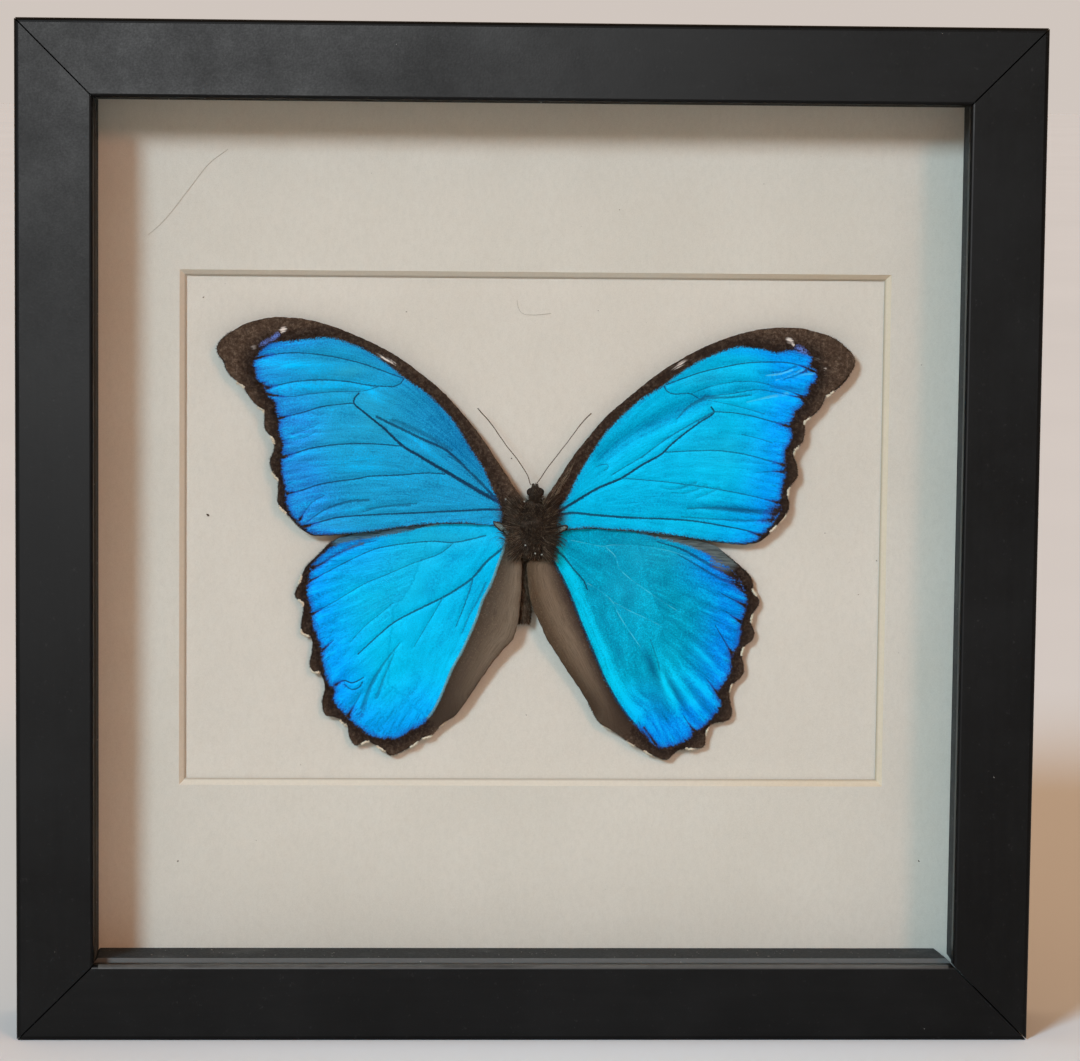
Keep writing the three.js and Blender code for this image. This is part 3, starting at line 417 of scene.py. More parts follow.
class Look:
    """A material with one Principled shader and short ways to add nodes to it."""

    def __init__(self, name, **values):
        self.material = bpy.data.materials.new(name)
        self.material.use_nodes = True
        self.tree = self.material.node_tree
        self.shader = self.tree.nodes["Principled BSDF"]
        self.place = None
        for socket, value in values.items():
            self.shader.inputs[socket.replace("_", " ")].default_value = value

    def node(self, kind, links=(), **settings):
        made = self.tree.nodes.new("ShaderNode" + kind)
        for key, value in settings.items():
            setattr(made, key, value)
        for socket, value in dict(links).items():
            self.put(made.inputs[socket], value)
        return made

    def put(self, socket, value):
        if isinstance(value, Value):
            value = value.socket
        if isinstance(value, bpy.types.NodeSocket):
            self.tree.links.new(value, socket)
        elif isinstance(value, tuple) and len(value) == 3 and socket.type == "RGBA":
            socket.default_value = (*value, 1)
        else:
            socket.default_value = value

    def feed(self, socket, value):
        self.put(self.shader.inputs[socket], value)

    def stretched(self, vector, stretch):
        return self.node("Mapping", {"Vector": vector, "Scale": stretch}).outputs[0]

    def coordinates(self, stretch=(1, 1, 1)):
        if self.place is None:
            self.place = self.node("TexCoord").outputs["Object"]
        return self.stretched(self.place, stretch)

    def attribute(self, name, output="Fac"):
        return Value(self, self.node("Attribute", attribute_name=name).outputs[output])

    def noise(self, scale, detail=2.0, roughness=0.5, vector=None, stretch=(1, 1, 1), distortion=0.0):
        vector = self.coordinates(stretch) if vector is None else vector
        links = {"Vector": vector, "Scale": scale, "Detail": detail, "Roughness": roughness}
        links["Distortion"] = distortion
        return Value(self, self.node("TexNoise", links).outputs[0])

    def cells(self, scale, output="Distance", stretch=(1, 1, 1)):
        links = {"Vector": self.coordinates(stretch), "Scale": scale}
        return Value(self, self.node("TexVoronoi", links).outputs[output])

    def math(self, operation, a, b=0.0, clamp=False):
        made = self.node("Math", operation=operation, use_clamp=clamp)
        self.put(made.inputs[0], a)
        self.put(made.inputs[1], b)
        return Value(self, made.outputs[0])

    def span(self, value, low, high, to_low=0.0, to_high=1.0, kind="SMOOTHSTEP"):
        """Maps low..high to to_low..to_high along a smooth step."""
        links = {"Value": value, "From Min": low, "From Max": high, "To Min": to_low, "To Max": to_high}
        return Value(self, self.node("MapRange", links, interpolation_type=kind).outputs[0])

    def line(self, value, low, high, to_low, to_high):
        """Maps as span does, but along a straight line."""
        return self.span(value, low, high, to_low, to_high, "LINEAR")

    def mix(self, factor, a, b):
        made = self.node("Mix", data_type="RGBA")
        self.put(made.inputs["Factor"], factor)
        self.put(made.inputs[6], a)
        self.put(made.inputs[7], b)
        return made.outputs[2]

    def ramp(self, value, stops):
        made = self.node("ValToRGB")
        elements = made.color_ramp.elements
        while len(elements) < len(stops):
            elements.new(0.5)
        for element, (position, colour) in zip(elements, stops):
            element.position = position
            element.color = (*colour, 1)
        self.put(made.inputs[0], value)
        return made.outputs[0]

    def bump(self, height, strength, distance):
        links = {"Height": height, "Strength": strength, "Distance": distance}
        self.feed("Normal", self.node("Bump", links).outputs[0])

    def facing_front(self):
        """How far the surface faces the front of the frame, from 0 to 1."""
        normal = self.node("NewGeometry").outputs["Normal"]
        y = self.node("SeparateXYZ", {0: normal}).outputs["Y"]
        return self.math("MULTIPLY", y, -1.0, clamp=True)


# ------------------------------------------------------------------ frame and card materials


def foil_look(name, along):
    """Satin black foil with a faint grain along the rail, fine pimples, rubs and a film of dust, and a
    painted highlight on the bottom rail's rounded inner edge.
    """
    stretch = (40, 700, 700) if along == "x" else (700, 700, 40)
    look = Look(name, Specular_IOR_Level=0.1)
    grain = look.noise(1, 4, 0.6, stretch=stretch)
    pimples = look.noise(2600, 2)
    rubs = look.noise(38, 5, 0.65)
    dust = look.span(look.noise(900, 3, 0.7), 0.62, 0.78, 0, 0.6)
    base = look.mix(look.span(grain, 0.25, 0.8), (0.0015, 0.0014, 0.0013), (0.0026, 0.0025, 0.0023))
    base = look.mix(look.span(rubs, 0.5, 0.8, 0, 0.3), base, (0.006, 0.0058, 0.0055))
    base = look.mix(dust, base, (0.022, 0.021, 0.02))
    place = look.node("SeparateXYZ", {0: look.coordinates()}).outputs
    # Painted highlight: a lighter band on the rounded inner edge of the bottom rail, where it faces up
    # toward the light.
    painted_edge_highlight = look.span(place["Z"], 0.0161, 0.0167) * look.span(place["Z"], 0.0176, 0.0172)
    painted_edge_highlight = painted_edge_highlight * look.math("LESS_THAN", place["Y"], -0.0148)
    painted_edge_highlight = painted_edge_highlight * look.math("LESS_THAN", look.math("ABSOLUTE", place["X"], 0.0), 0.0945)
    painted_edge_highlight = painted_edge_highlight * look.span(rubs, 0.3, 0.6, 0.3, 0.8)
    look.feed("Base Color", look.mix(painted_edge_highlight, base, (0.1, 0.098, 0.09)))
    rough = look.line(rubs, 0.3, 0.7, 0.3, 0.42) + look.line(pimples, 0.3, 0.7, -0.02, 0.03)
    look.feed("Roughness", rough)
    height = grain * 0.25 + pimples * 0.7
    look.bump(height, 0.22, 0.00004)
    return look.material


def glass_look():
    """Clear picture glass: what is behind shows through it, and it mirrors more at a slant."""
    look = Look("picture_glass", Base_Color=(0.93, 0.96, 0.95, 1), Metallic=1, Roughness=0.03, IOR=1.5)
    clear = look.node("BsdfTransparent", {"Color": (0.951, 0.952, 0.945)}).outputs[0]
    facing = look.node("LayerWeight", {"Blend": 0.5}).outputs["Facing"]
    mirror = look.math("POWER", facing, 5) * 0.9
    smear = look.span(look.noise(30, 4, 0.6), 0.62, 0.8, 0, 0.002)
    links = {0: look.math("ADD", mirror, smear, clamp=True), 1: clear, 2: look.shader.outputs[0]}
    mixed = look.node("MixShader", links)
    look.tree.links.new(mixed.outputs[0], look.tree.nodes["Material Output"].inputs["Surface"])
    return look.material


def card_look(name, tone, shade, core, fleck_scale):
    """Cream card with paper grain, faint cloudiness and dark flecks; its cut edges show a whiter core,
    darkened by a painted shadow line along their back edge.
    """
    look = Look(name, Roughness=0.9, Specular_IOR_Level=0.25)
    clouds = look.noise(26, 4, 0.55)
    fibres = look.noise(900, 4, 0.7, stretch=(1, 1, 0.55))
    tooth = look.noise(3600, 2)
    base = look.mix(look.span(clouds, 0.3, 0.7), shade, tone)
    base = look.mix(look.span(fibres, 0.35, 0.75, 0, 0.42), base, tuple(c * 0.9 for c in shade))
    base = look.mix(look.span(tooth, 0.3, 0.8, 0, 0.2), base, (0.8, 0.78, 0.7))
    spot = look.cells(fleck_scale)
    rare = look.span(
        look.node("SeparateColor", {0: look.cells(fleck_scale, "Color")}).outputs[0], 0.7, 0.72
    )
    size = look.line(look.noise(410, 1), 0.3, 0.7, 0.008, 0.034)
    fleck = look.math("LESS_THAN", spot, size) * rare
    base = look.mix(fleck * 0.55, base, (0.2, 0.17, 0.13))
    front = look.facing_front()
    cut = look.span(front, 0.2, 0.5) * look.span(front, 0.95, 0.85)
    place = look.node("SeparateXYZ", {0: look.coordinates()}).outputs
    tan = tuple(c * t for c, t in zip(core, (0.98, 0.9, 0.8)))
    raw = look.mix(look.span(place["X"], 0.02, 0.07, 0, 0.9), core, tan)
    raw = look.mix(look.noise(1500, 2), look.mix(0.12, raw, (0, 0, 0)), raw)
    # Painted shadow: the cut darkens toward its back edge, where the mat meets the board.
    raw = look.mix(look.span(place["Y"], 0.00175, 0.0022, 0, 0.42), raw, (0.16, 0.12, 0.08))
    base = look.mix(cut, base, raw)
    look.feed("Base Color", base)
    height = fibres * 0.6 + tooth * 0.4
    look.bump(height, 0.3, 0.00006)
    return look.material


def spacer_look(name, front_tone):
    """Dark grey paper-faced strip: lighter front edge, scuffs, clinging dust and lint."""
    look = Look(name, Roughness=0.86, Specular_IOR_Level=0.2)
    fibres = look.noise(1200, 4, 0.7)
    scuffs = look.noise(90, 5, 0.65)
    base = look.mix(look.span(fibres, 0.3, 0.75), (0.02, 0.021, 0.021), (0.05, 0.052, 0.051))
    base = look.mix(look.span(scuffs, 0.52, 0.75, 0, 0.6), base, (0.085, 0.085, 0.082))
    base = look.mix(look.span(look.facing_front(), 0.6, 0.9, 0, 0.6), base, front_tone)
    lint = look.math("LESS_THAN", look.cells(420), 0.07) * 0.6
    look.feed("Base Color", look.mix(lint, base, (0.4, 0.39, 0.36)))
    look.bump(fibres, 0.4, 0.0001)
    return look.material


def fibreboard_look():
    """Bare brown fibreboard: pressed fibres, darker chips, a faint screen texture."""
    look = Look("fibreboard", Roughness=0.82, Specular_IOR_Level=0.3)
    fibres = look.noise(420, 6, 0.75, stretch=(1, 1, 0.35), distortion=1.2)
    chips = look.cells(330, stretch=(1, 1, 0.45))
    clouds = look.noise(18, 4, 0.6)
    base = look.mix(look.span(fibres, 0.3, 0.72), (0.13, 0.066, 0.03), (0.33, 0.2, 0.105))
    base = look.mix(look.span(chips, 0.0, 0.22, 0.5, 0), base, (0.07, 0.035, 0.018))
    base = look.mix(look.span(clouds, 0.35, 0.7, 0, 0.35), base, (0.24, 0.15, 0.085))
    look.feed("Base Color", base)
    look.bump(fibres + chips * 0.4, 0.5, 0.00018)
    return look.material


def zinc_look():
    """Zinc-plated steel: drawn lines, cloudy plating and a few dull spots."""
    look = Look("zinc_steel", Metallic=0.9)
    lines = look.noise(1, 4, 0.6, stretch=(260, 3200, 3200))
    plating = look.noise(320, 4, 0.6)
    base = look.mix(look.span(lines, 0.3, 0.7), (0.36, 0.37, 0.38), (0.6, 0.61, 0.61))
    base = look.mix(look.span(plating, 0.52, 0.72, 0, 0.6), base, (0.42, 0.41, 0.37))
    look.feed("Base Color", base)
    look.feed("Roughness", look.line(plating, 0.3, 0.7, 0.28, 0.55))
    look.bump(lines, 0.25, 0.00004)
    return look.material


def dress_frame(nodes):
    """Gives every CAD piece of the frame its material."""
    across = foil_look("black_foil_across", "x")
    upright = foil_look("black_foil_upright", "z")
    spacer = spacer_look("spacer_paper", (0.066, 0.066, 0.058))
    # The bottom strip's front edge is made much lighter: painted light from above, together with dust. The
    # other strips keep a darker front edge.
    dust_and_painted_light_spacer = spacer_look("spacer_paper_dust_and_painted_light", (0.21, 0.21, 0.2))
    zinc = zinc_look()
    looks = {
        "rail_top": across, "rail_bottom": across, "rail_left": upright, "rail_right": upright,
        "glass_pane": glass_look(),
        "window_mat": card_look(
            "mat_card", (0.64, 0.605, 0.525), (0.6, 0.565, 0.485), (0.72, 0.66, 0.55), 260
        ),
        "mount_board": card_look(
            "board_card", (0.65, 0.61, 0.53), (0.615, 0.575, 0.495), (0.72, 0.68, 0.6), 300
        ),
        "back_panel": fibreboard_look(),
    }
    for name, node in nodes.items():
        if name.startswith("spacer_"):
            look = dust_and_painted_light_spacer if name == "spacer_bottom" else spacer
        elif name.startswith(("retaining_tab_", "sawtooth_hanger", "hanger_rivet_")):
            look = zinc
        else:
            look = looks.get(name)
        if look:
            node.data.materials.clear()
            node.data.materials.append(look)


# ------------------------------------------------------------------ curves and distances in the wing's plane


def smooth(points, step, closed):
    """Points every step along a centripetal Catmull-Rom curve through the given points."""
    given = [np.array(p, float) for p in points]
    count = len(given)
    ends = given if closed else [2 * given[0] - given[1], *given, 2 * given[-1] - given[-2]]
    fine = []
    for i in range(count if closed else count - 1):
        if closed:
            p0, p1, p2, p3 = (ends[(i + k) % count] for k in (-1, 0, 1, 2))
        else:
            p0, p1, p2, p3 = ends[i : i + 4]
        d0, d1, d2 = (max(np.linalg.norm(b - a), 1e-6) ** 0.5 for a, b in ((p0, p1), (p1, p2), (p2, p3)))
        m1 = ((p1 - p0) / d0 - (p2 - p0) / (d0 + d1) + (p2 - p1) / d1) * d1
        m2 = ((p2 - p1) / d1 - (p3 - p1) / (d1 + d2) + (p3 - p2) / d2) * d1
        t = np.linspace(0, 1, 24, endpoint=False)[:, None]
        fine.append(
            (2 * t**3 - 3 * t**2 + 1) * p1 + (t**3 - 2 * t**2 + t) * m1
            + (3 * t**2 - 2 * t**3) * p2 + (t**3 - t**2) * m2
        )
    fine = np.vstack([*fine, [given[0] if closed else given[-1]]])
    run = np.r_[0, np.cumsum(np.linalg.norm(np.diff(fine, axis=0), axis=1))]
    even = np.linspace(0, run[-1], max(2, int(run[-1] / step) + 1))
    made = np.column_stack([np.interp(even, run, fine[:, k]) for k in range(fine.shape[1])])
    return made[:-1] if closed else made


def distance(points, line, closed=False):
    """Distance of each point from a line, and how far along the line its nearest place is, 0 to 1."""
    a = np.asarray(line, float)
    b = np.roll(a, -1, axis=0)
    if not closed:
        a, b = a[:-1], b[:-1]
    best = np.full(len(points), np.inf)
    where = np.zeros(len(points))
    for i in range(len(a)):
        along = b[i] - a[i]
        t = np.clip((points - a[i]) @ along / max(along @ along, 1e-9), 0, 1)
        away = np.hypot(*(points - a[i] - t[:, None] * along).T)
        nearer = away < best
        best[nearer] = away[nearer]
        where[nearer] = (i + t[nearer]) / len(a)
    return best, where


def inside(points, loop):
    x, z = points.T
    crossed = np.zeros(len(points), bool)
    for (x1, z1), (x2, z2) in zip(loop, np.roll(loop, -1, axis=0)):
        if z1 != z2:
            crossed ^= ((z1 > z) != (z2 > z)) & (x < (x2 - x1) * (z - z1) / (z2 - z1) + x1)
    return crossed


def signed_distance(points, loop):
    """Distance from a loop's edge, above zero inside it."""
    return distance(points, loop, True)[0] * np.where(inside(points, loop), 1, -1)


def bell(points, middle, halves, turn):
    """A soft oval spot: 1 in its middle, falling to about 0.1 at one and a half half-lengths."""
    angle = math.radians(turn)
    away = points - np.array(middle)
    u = (away[:, 0] * math.cos(angle) + away[:, 1] * math.sin(angle)) / halves[0]
    v = (away[:, 1] * math.cos(angle) - away[:, 0] * math.sin(angle)) / halves[1]
    return np.exp(-(u * u + v * v))


def step(value, low, high):
    t = np.clip((value - low) / (high - low), 0, 1)
    return t * t * (3 - 2 * t)


def wander(points, size, seed):
    """Slow noise between about -1 and 1, changing over size millimetres."""
    return np.array([noise.noise((x / size, z / size, seed)) for x, z in points])


# ------------------------------------------------------------------ wings

FOREWING_LIFT = (2.8, 1.9)
HINDWING_LIFT = (1.8, 2.1)
WING_SKIN = 0.12
LINE_STEP = 0.4
VEIN_STEP = 0.3
EDGE_STEP = 0.32
ROW_OFFSETS = (0, 0.17, -0.17, 0.42, -0.42)
CLOSEST = 0.17
FOLD_RISE = 0.35
FOLD_COUNT = 11


def wing_lift(across, lift):
    return lift[0] + lift[1] * np.exp(-(np.abs(across) - 2) / 9)


def to_frame(points, lift):
    """[across, up] and lift over the board, as points of the frame in metres."""
    x, z = points.T
    return np.column_stack([x + THORAX[0], BOARD_Y - lift, z + THORAX[1]]) * MM


def wing_points(outline, vein_lines, rng):
    """The outline first, then rows along each vein, then a jittered grid, all inside the outline."""
    edge = smooth(outline, EDGE_STEP, True)
    edge += np.column_stack([wander(edge, 1.3, 3), wander(edge, 1.3, 7)]) * 0.1
    edge += np.column_stack([wander(edge, 0.5, 4), wander(edge, 0.5, 8)]) * 0.07
    rows = []
    for line in vein_lines:
        along = np.gradient(line, axis=0)
        side = np.column_stack([-along[:, 1], along[:, 0]])
        side /= np.linalg.norm(side, axis=1)[:, None]
        rows += [line + side * offset for offset in ROW_OFFSETS]
    pitch = 0.42
    low, high = edge.min(0), edge.max(0)
    columns = np.arange(low[0], high[0], pitch)
    levels = np.arange(low[1], high[1], pitch * 0.866)
    grid = np.array([(x + (k % 2) * pitch / 2, z) for k, z in enumerate(levels) for x in columns])
    grid += rng.uniform(-0.1, 0.1, grid.shape)
    inner = np.vstack([*rows, grid])
    _, first = np.unique(np.round(inner / CLOSEST).astype(int), axis=0, return_index=True)
    inner = inner[np.sort(first)]
    return edge, inner[signed_distance(inner, edge) > 0.14]


def wing_faces(edge, inner):
    points = np.vstack([edge, inner])
    loop = list(range(len(edge)))
    found = delaunay_2d_cdt([Vector(p) for p in points], [], [loop], 1, 1e-4)
    return np.array([tuple(p) for p in found[0]]), found[2]


def patch_sum(points, patches):
    total = np.zeros(len(points))
    for middle, halves, turn, amount in patches:
        total += bell(points, middle, halves, turn) * amount
    return total


def set_values(mesh, name, values):
    values = np.asarray(values, np.float32)
    kind, key = ("FLOAT", "value") if values.ndim == 1 else ("FLOAT_VECTOR", "vector")
    mesh.attributes.new(name, kind, "POINT").data.foreach_set(key, values.ravel())


def vein_fields(points, veins, lines):
    """Where each point lies among the veins: nearness to one in its half-widths, that one's darkness, and
    the plain distance."""
    near = np.full(len(points), 9.0)
    tone = np.zeros(len(points))
    plain = np.full(len(points), 9.0)
    for (_, (start, end), darkness, _), line in zip(veins, lines):
        away, where = distance(points, line)
        across = away / (start + (end - start) * where)
        closer = across < near
        near[closer] = across[closer]
        tone[closer] = darkness
        plain = np.minimum(plain, away)
    return near, tone, plain


def reach_border(line, darkness, rim_line):
    """Carries a dark vein that stops short of the dark border on into it."""
    if darkness < 0.6 or distance(line[-1:], rim_line)[0][0] > 4.2:
        return line
    ahead = line[-1] - line[-6]
    ahead = ahead / np.linalg.norm(ahead)
    return np.vstack([line, line[-1] + ahead * np.arange(0.3, 3.4, 0.3)[:, None]])


def shape_lift(points, lift, plain, edge_away, seed):
    """Height of the wing's skin over the board: the bend of the CAD wing with grooves along the veins and
    a slow unevenness, fading out at the margin's very edge."""
    height = wing_lift(points[:, 0], lift)
    height -= 0.1 * np.exp(-((plain / 0.5) ** 2))
    height += 0.06 * step(plain, 0, 3)
    height += 0.28 * wander(points, 11, seed) + 0.1 * wander(points, 3.5, seed + 5)
    return height + 0.25 * np.exp(-edge_away / 1.5) * wander(points, 2.6, seed + 9)


def level_fan(points):
    """Place of each point of a forewing across its streaks, which leave the root as a fan and turn level
    toward the outer margin."""
    reach = np.abs(points[:, 0])
    spread = (1 - np.exp(-((reach / 24) ** 1.5))) / 0.88
    level = 3 - 0.0034 * np.maximum(reach - 20, 0) ** 2
    return (points[:, 1] - level) / np.maximum(spread, 0.04) * 0.225


def build_wing(name, part):
    """One wing as a thin skin, with the fields that its material reads stored on its points."""
    rng = np.random.default_rng(part["seed"])
    loop = np.array(part["blue"], float)
    rim_line = smooth(loop[part["rim"][0] : part["rim"][1]], LINE_STEP, False)
    lines = [reach_border(smooth(vein[3], VEIN_STEP, False), vein[2], rim_line) for vein in part["veins"]]
    edge, inner = wing_points(part["outline"], lines, rng)
    points, faces = wing_faces(edge, inner)
    edge_away = distance(points, edge, True)[0]
    near, tone, plain = vein_fields(points, part["veins"], lines)
    height = shape_lift(points, part["lift"], plain, edge_away, part["seed"])

    from_root = points - np.array(part["root"])
    root = np.hypot(*from_root.T)
    fan = np.arctan2(from_root[:, 1], np.abs(from_root[:, 0])) * 9
    if part["lift"] == FOREWING_LIFT:
        fan = level_fan(points)
    blue_loop = smooth(loop, LINE_STEP, True)
    blue = signed_distance(points, blue_loop)
    fold_line = smooth(loop[: part["fold_count"]], LINE_STEP, False) if part["fold_count"] else None
    rim = distance(points, rim_line)[0]
    wedge = near * 0.26 - 0.8 + 0.46 * blue
    blue = np.where((rim < 3) & (blue > 0) & (tone > 0.4), np.minimum(blue, wedge), blue)

    # Painted sheen and shade: brightness patches, the highlight beside the fold and the darkening in
    # troughs.
    painted_sheen_and_shade = patch_sum(points, part["patches"]["painted_sheen_and_shade"])
    fold = np.zeros(len(points))
    across = np.zeros(len(points))
    if fold_line is not None:
        from_fold = distance(points, fold_line)[0]
        fold = step(rim - from_fold, -1.6, 1.6)
        inner_line = smooth(part["outline"][part["inner_from"] :], LINE_STEP, False)
        to_edge = distance(points, inner_line)[0]
        across = from_fold / (from_fold + to_edge + 1e-6)
        fan = np.where(fold > 0.5, 20 + 5 * across, fan)
        # Painted highlight: a brighter stripe in the blue beside the fold line, where the raised fold
        # catches the light.
        painted_sheen_and_shade += part["painted_fold_highlight"] * np.exp(-(((from_fold - 1.7) / 1.5) ** 4)) * (blue > 0)
        lifted = step(-blue, 0, 2.5) * fold * step(-points[:, 1], 2, 7)
        height += lifted * FOLD_RISE * np.sin(across * math.pi * 0.75)
        height += 0.2 * np.exp(-((from_fold / 0.9) ** 2)) * step(fold, 0.3, 0.8)
    # A trough is sunk into the skin and also darkened by its amount: painted shade in the crease.
    for middle_line, width, depth, amount in part["troughs"]:
        away = distance(points, smooth(middle_line, LINE_STEP, False))[0]
        trough = np.exp(-((away / width) ** 2))
        height -= depth * trough
        painted_sheen_and_shade += amount * trough
    mark = np.zeros(len(points))
    for middle, halves, turn, strength in part["marks"]:
        spot = bell(points, middle, halves, turn) * abs(strength)
        mark = np.where(spot > np.abs(mark), spot * np.sign(strength), mark)

    mesh = bpy.data.meshes.new(name)
    mesh.from_pydata(to_frame(points, height).tolist(), [], faces)
    if mesh.polygons[0].normal.y > 0:
        mesh.flip_normals()
    costa = np.zeros(len(points))
    if part["costa"]:
        costa = step(distance(points, smooth(part["costa"], LINE_STEP, False))[0], 4.5, 2.5)
    for field, values in {
        "blue": blue, "near": near, "tone": tone, "fold": fold, "across": across, "painted_sheen_and_shade": painted_sheen_and_shade,
        "violet": patch_sum(points, part["patches"]["violet"]),
        "pale": patch_sum(points, part["patches"]["pale"]),
        "rim": rim, "mark": mark, "root": root, "costa": costa,
        "flow": np.column_stack([fan, root, fan * 0]),
    }.items():
        set_values(mesh, field, values)
    for polygon in mesh.polygons:
        polygon.use_smooth = True
    wing = bpy.data.objects.new(name, mesh)
    bpy.context.scene.collection.objects.link(wing)
    skin = wing.modifiers.new("skin", "SOLIDIFY")
    skin.thickness = WING_SKIN * MM
    skin.offset = -1
    skin.material_offset = 1
    skin.material_offset_rim = 0
    mesh.materials.append(part["look"])
    mesh.materials.append(part["underside"])
    return wing, edge


def wing_look(name, deep, base, bright, rim_blue, fold_stops, lip_tone, costa_tone):
    """Blue scales with a silky grain running out from the root, dark veins, the dark border with its white
    marks, the brown inner fold and the dusky root, under the painted sheen and shade that the wing's points
    carry."""
    look = Look(name, Specular_IOR_Level=0.02)
    blue, near, rim, tone = (look.attribute(n) for n in ("blue", "near", "rim", "tone"))
    flow = look.attribute("flow", "Vector")
    long_streaks = look.noise(1, 3, 0.6, vector=look.stretched(flow, (3.4, 0.09, 1)))
    fine_streaks = look.noise(1, 4, 0.65, vector=look.stretched(flow, (11, 0.25, 1)))
    scales = look.noise(3400, 2, 0.7)
    blotches = look.noise(210, 4, 0.6)

    toward_rim = look.span(rim, 14, 0.5, 0.45, 0.9)
    # The painted sheen and shade move each point between the deep and the bright blues.
    value = look.attribute("painted_sheen_and_shade") * 0.42 + 0.5
    for source, amount in ((long_streaks, 1.55), (fine_streaks, 0.85)):
        value = value + (source - 0.5) * (toward_rim * amount)
    for source, amount in ((scales, 1.25), (blotches, 0.25)):
        value = value + (source - 0.5) * amount
    colour = look.ramp(value, [(0.0, deep), (0.5, base), (1.0, bright)])
    azure = look.span(rim, 14, 0.5, 0, 0.85) + look.attribute("violet")
    azure = look.math("MULTIPLY", azure, look.line(long_streaks, 0.3, 0.7, 0.65, 1.1), clamp=True)
    azure_colour = look.ramp(
        value, [(0.0, tuple(c * 0.4 for c in rim_blue)), (0.5, rim_blue), (1.0, (0.0, 0.52, 1.0))]
    )
    colour = look.mix(azure, colour, azure_colour)
    hazy = look.math(
        "MULTIPLY", look.attribute("pale"), look.line(blotches, 0.3, 0.7, 0.5, 0.9), clamp=True
    )
    colour = look.mix(hazy * 0.5, colour, (0.03, 0.4, 0.56))
    glint = look.math("LESS_THAN", look.cells(900), 0.09) * look.span(blotches, 0.5, 0.7, 0, 0.5)
    colour = look.mix(glint, colour, (0.05, 0.65, 0.9))
    feather = look.span(fine_streaks, 0.56, 0.64) * look.span(blue, 3.6, 0.3, 0, 0.75)
    feather = feather * look.span(rim, 5.5, 3.0)
    colour = look.mix(feather, colour, (0.0, 0.045, 0.22))

    # Dark veins are the wing's own colour; where the lines are creases, folds or wrinkles this darkening is
    # painted shade, and the shine mixed in below is a painted highlight.
    ragged_near = near + look.line(scales, 0.3, 0.7, -0.3, 0.3)
    on_vein = look.span(ragged_near, 1.45, 0.5)
    dark = look.math("MAXIMUM", tone, 0.0) * on_vein
    colour = look.mix(dark * 0.92, colour, (0.006, 0.017, 0.05))
    shine = look.math("MAXIMUM", tone * -1.0, 0.0) * on_vein
    shine = shine * look.span(blotches, 0.42, 0.56, 0.15, 1.0)
    colour = look.mix(shine, colour, (0.12, 0.6, 0.72))

    tatter = (fine_streaks - 0.5) * look.span(rim, 7, 2, 0.5, 1.9)
    ragged = blue + tatter + look.line(scales, 0.3, 0.7, -0.3, 0.3)
    is_blue = look.span(ragged, -0.3, 0.35)
    edge_violet = look.span(ragged, 1.4, 0.1) * look.span(rim, 7, 2.5, 0.12, 0.6)
    edge_violet = edge_violet * look.span(look.attribute("fold"), 0.6, 0.3)
    colour = look.mix(edge_violet, colour, (0.012, 0.08, 0.45))

    soot = look.noise(1500, 4, 0.75)
    border = look.ramp(
        soot, [(0.3, (0.007, 0.0042, 0.0038)), (0.52, (0.018, 0.0115, 0.009)), (0.75, (0.06, 0.042, 0.032))]
    )
    far = look.span(blue * -1.0, 0.5, 4.5, 0.1, 0.95)
    far = look.math("MAXIMUM", far, look.span(rim, 9, 18, 0, 0.34))
    faded = look.ramp(
        soot, [(0.28, (0.03, 0.018, 0.011)), (0.5, (0.075, 0.047, 0.031)), (0.75, (0.2, 0.145, 0.1))]
    )
    border = look.mix(far, border, faded)
    border = look.mix(look.span(fine_streaks, 0.45, 0.75, 0, 0.4), border, (0.014, 0.009, 0.0065))
    strip = look.mix(look.span(fine_streaks, 0.4, 0.65), costa_tone, tuple(c * 0.45 for c in costa_tone))
    border = look.mix(look.attribute("costa"), border, strip)
    veil = look.attribute("across") + look.line(blotches, 0.3, 0.7, -0.035, 0.035)
    brown = look.ramp(veil, fold_stops)
    brown = look.mix(look.span(fine_streaks, 0.42, 0.7, 0.0, 0.5), brown, (0.05, 0.032, 0.021))
    brown = look.mix(look.span(look.noise(2600, 3, 0.7), 0.5, 0.75, 0.0, 0.35), brown, (0.24, 0.18, 0.125))
    brown = look.mix(look.span(look.attribute("root"), 22, 46, 0, 0.75), brown, (0.035, 0.023, 0.016))
    ground = look.mix(look.attribute("fold"), border, brown)
    colour = look.mix(is_blue, ground, colour)
    lip = look.span(look.math("ABSOLUTE", blue, 0.0), 0.4, 0.08) * look.attribute("fold")
    colour = look.mix(lip * 0.75, colour, lip_tone)

    mark = look.attribute("mark")
    broken = mark * look.line(fine_streaks, 0.36, 0.64, 0.1, 1.5)
    colour = look.mix(look.span(broken, 0.15, 1.1), colour, (0.74, 0.67, 0.6))
    bluish = mark * -1.0 * look.line(scales, 0.35, 0.65, 0.3, 1.4)
    colour = look.mix(look.span(bluish, 0.15, 0.9, 0, 0.8), colour, (0.14, 0.24, 0.66))
    dusk = look.span(
        look.attribute("root") + look.line(fine_streaks, 0.35, 0.65, -1.8, 1.8), 4.6, 2.4, 0, 0.92
    )
    root_brown = look.ramp(
        soot, [(0.3, (0.014, 0.009, 0.006)), (0.55, (0.04, 0.026, 0.018)), (0.75, (0.12, 0.085, 0.06))]
    )
    colour = look.mix(dusk, colour, root_brown)
    look.feed("Base Color", colour)
    look.feed("Metallic", is_blue * 0.1)
    look.feed("Roughness", look.line(is_blue, 0, 1, 0.78, 0.46))
    look.bump(long_streaks * 1.3 + fine_streaks * 0.8 + scales * 0.3, 0.35, 0.00022)
    return look.material


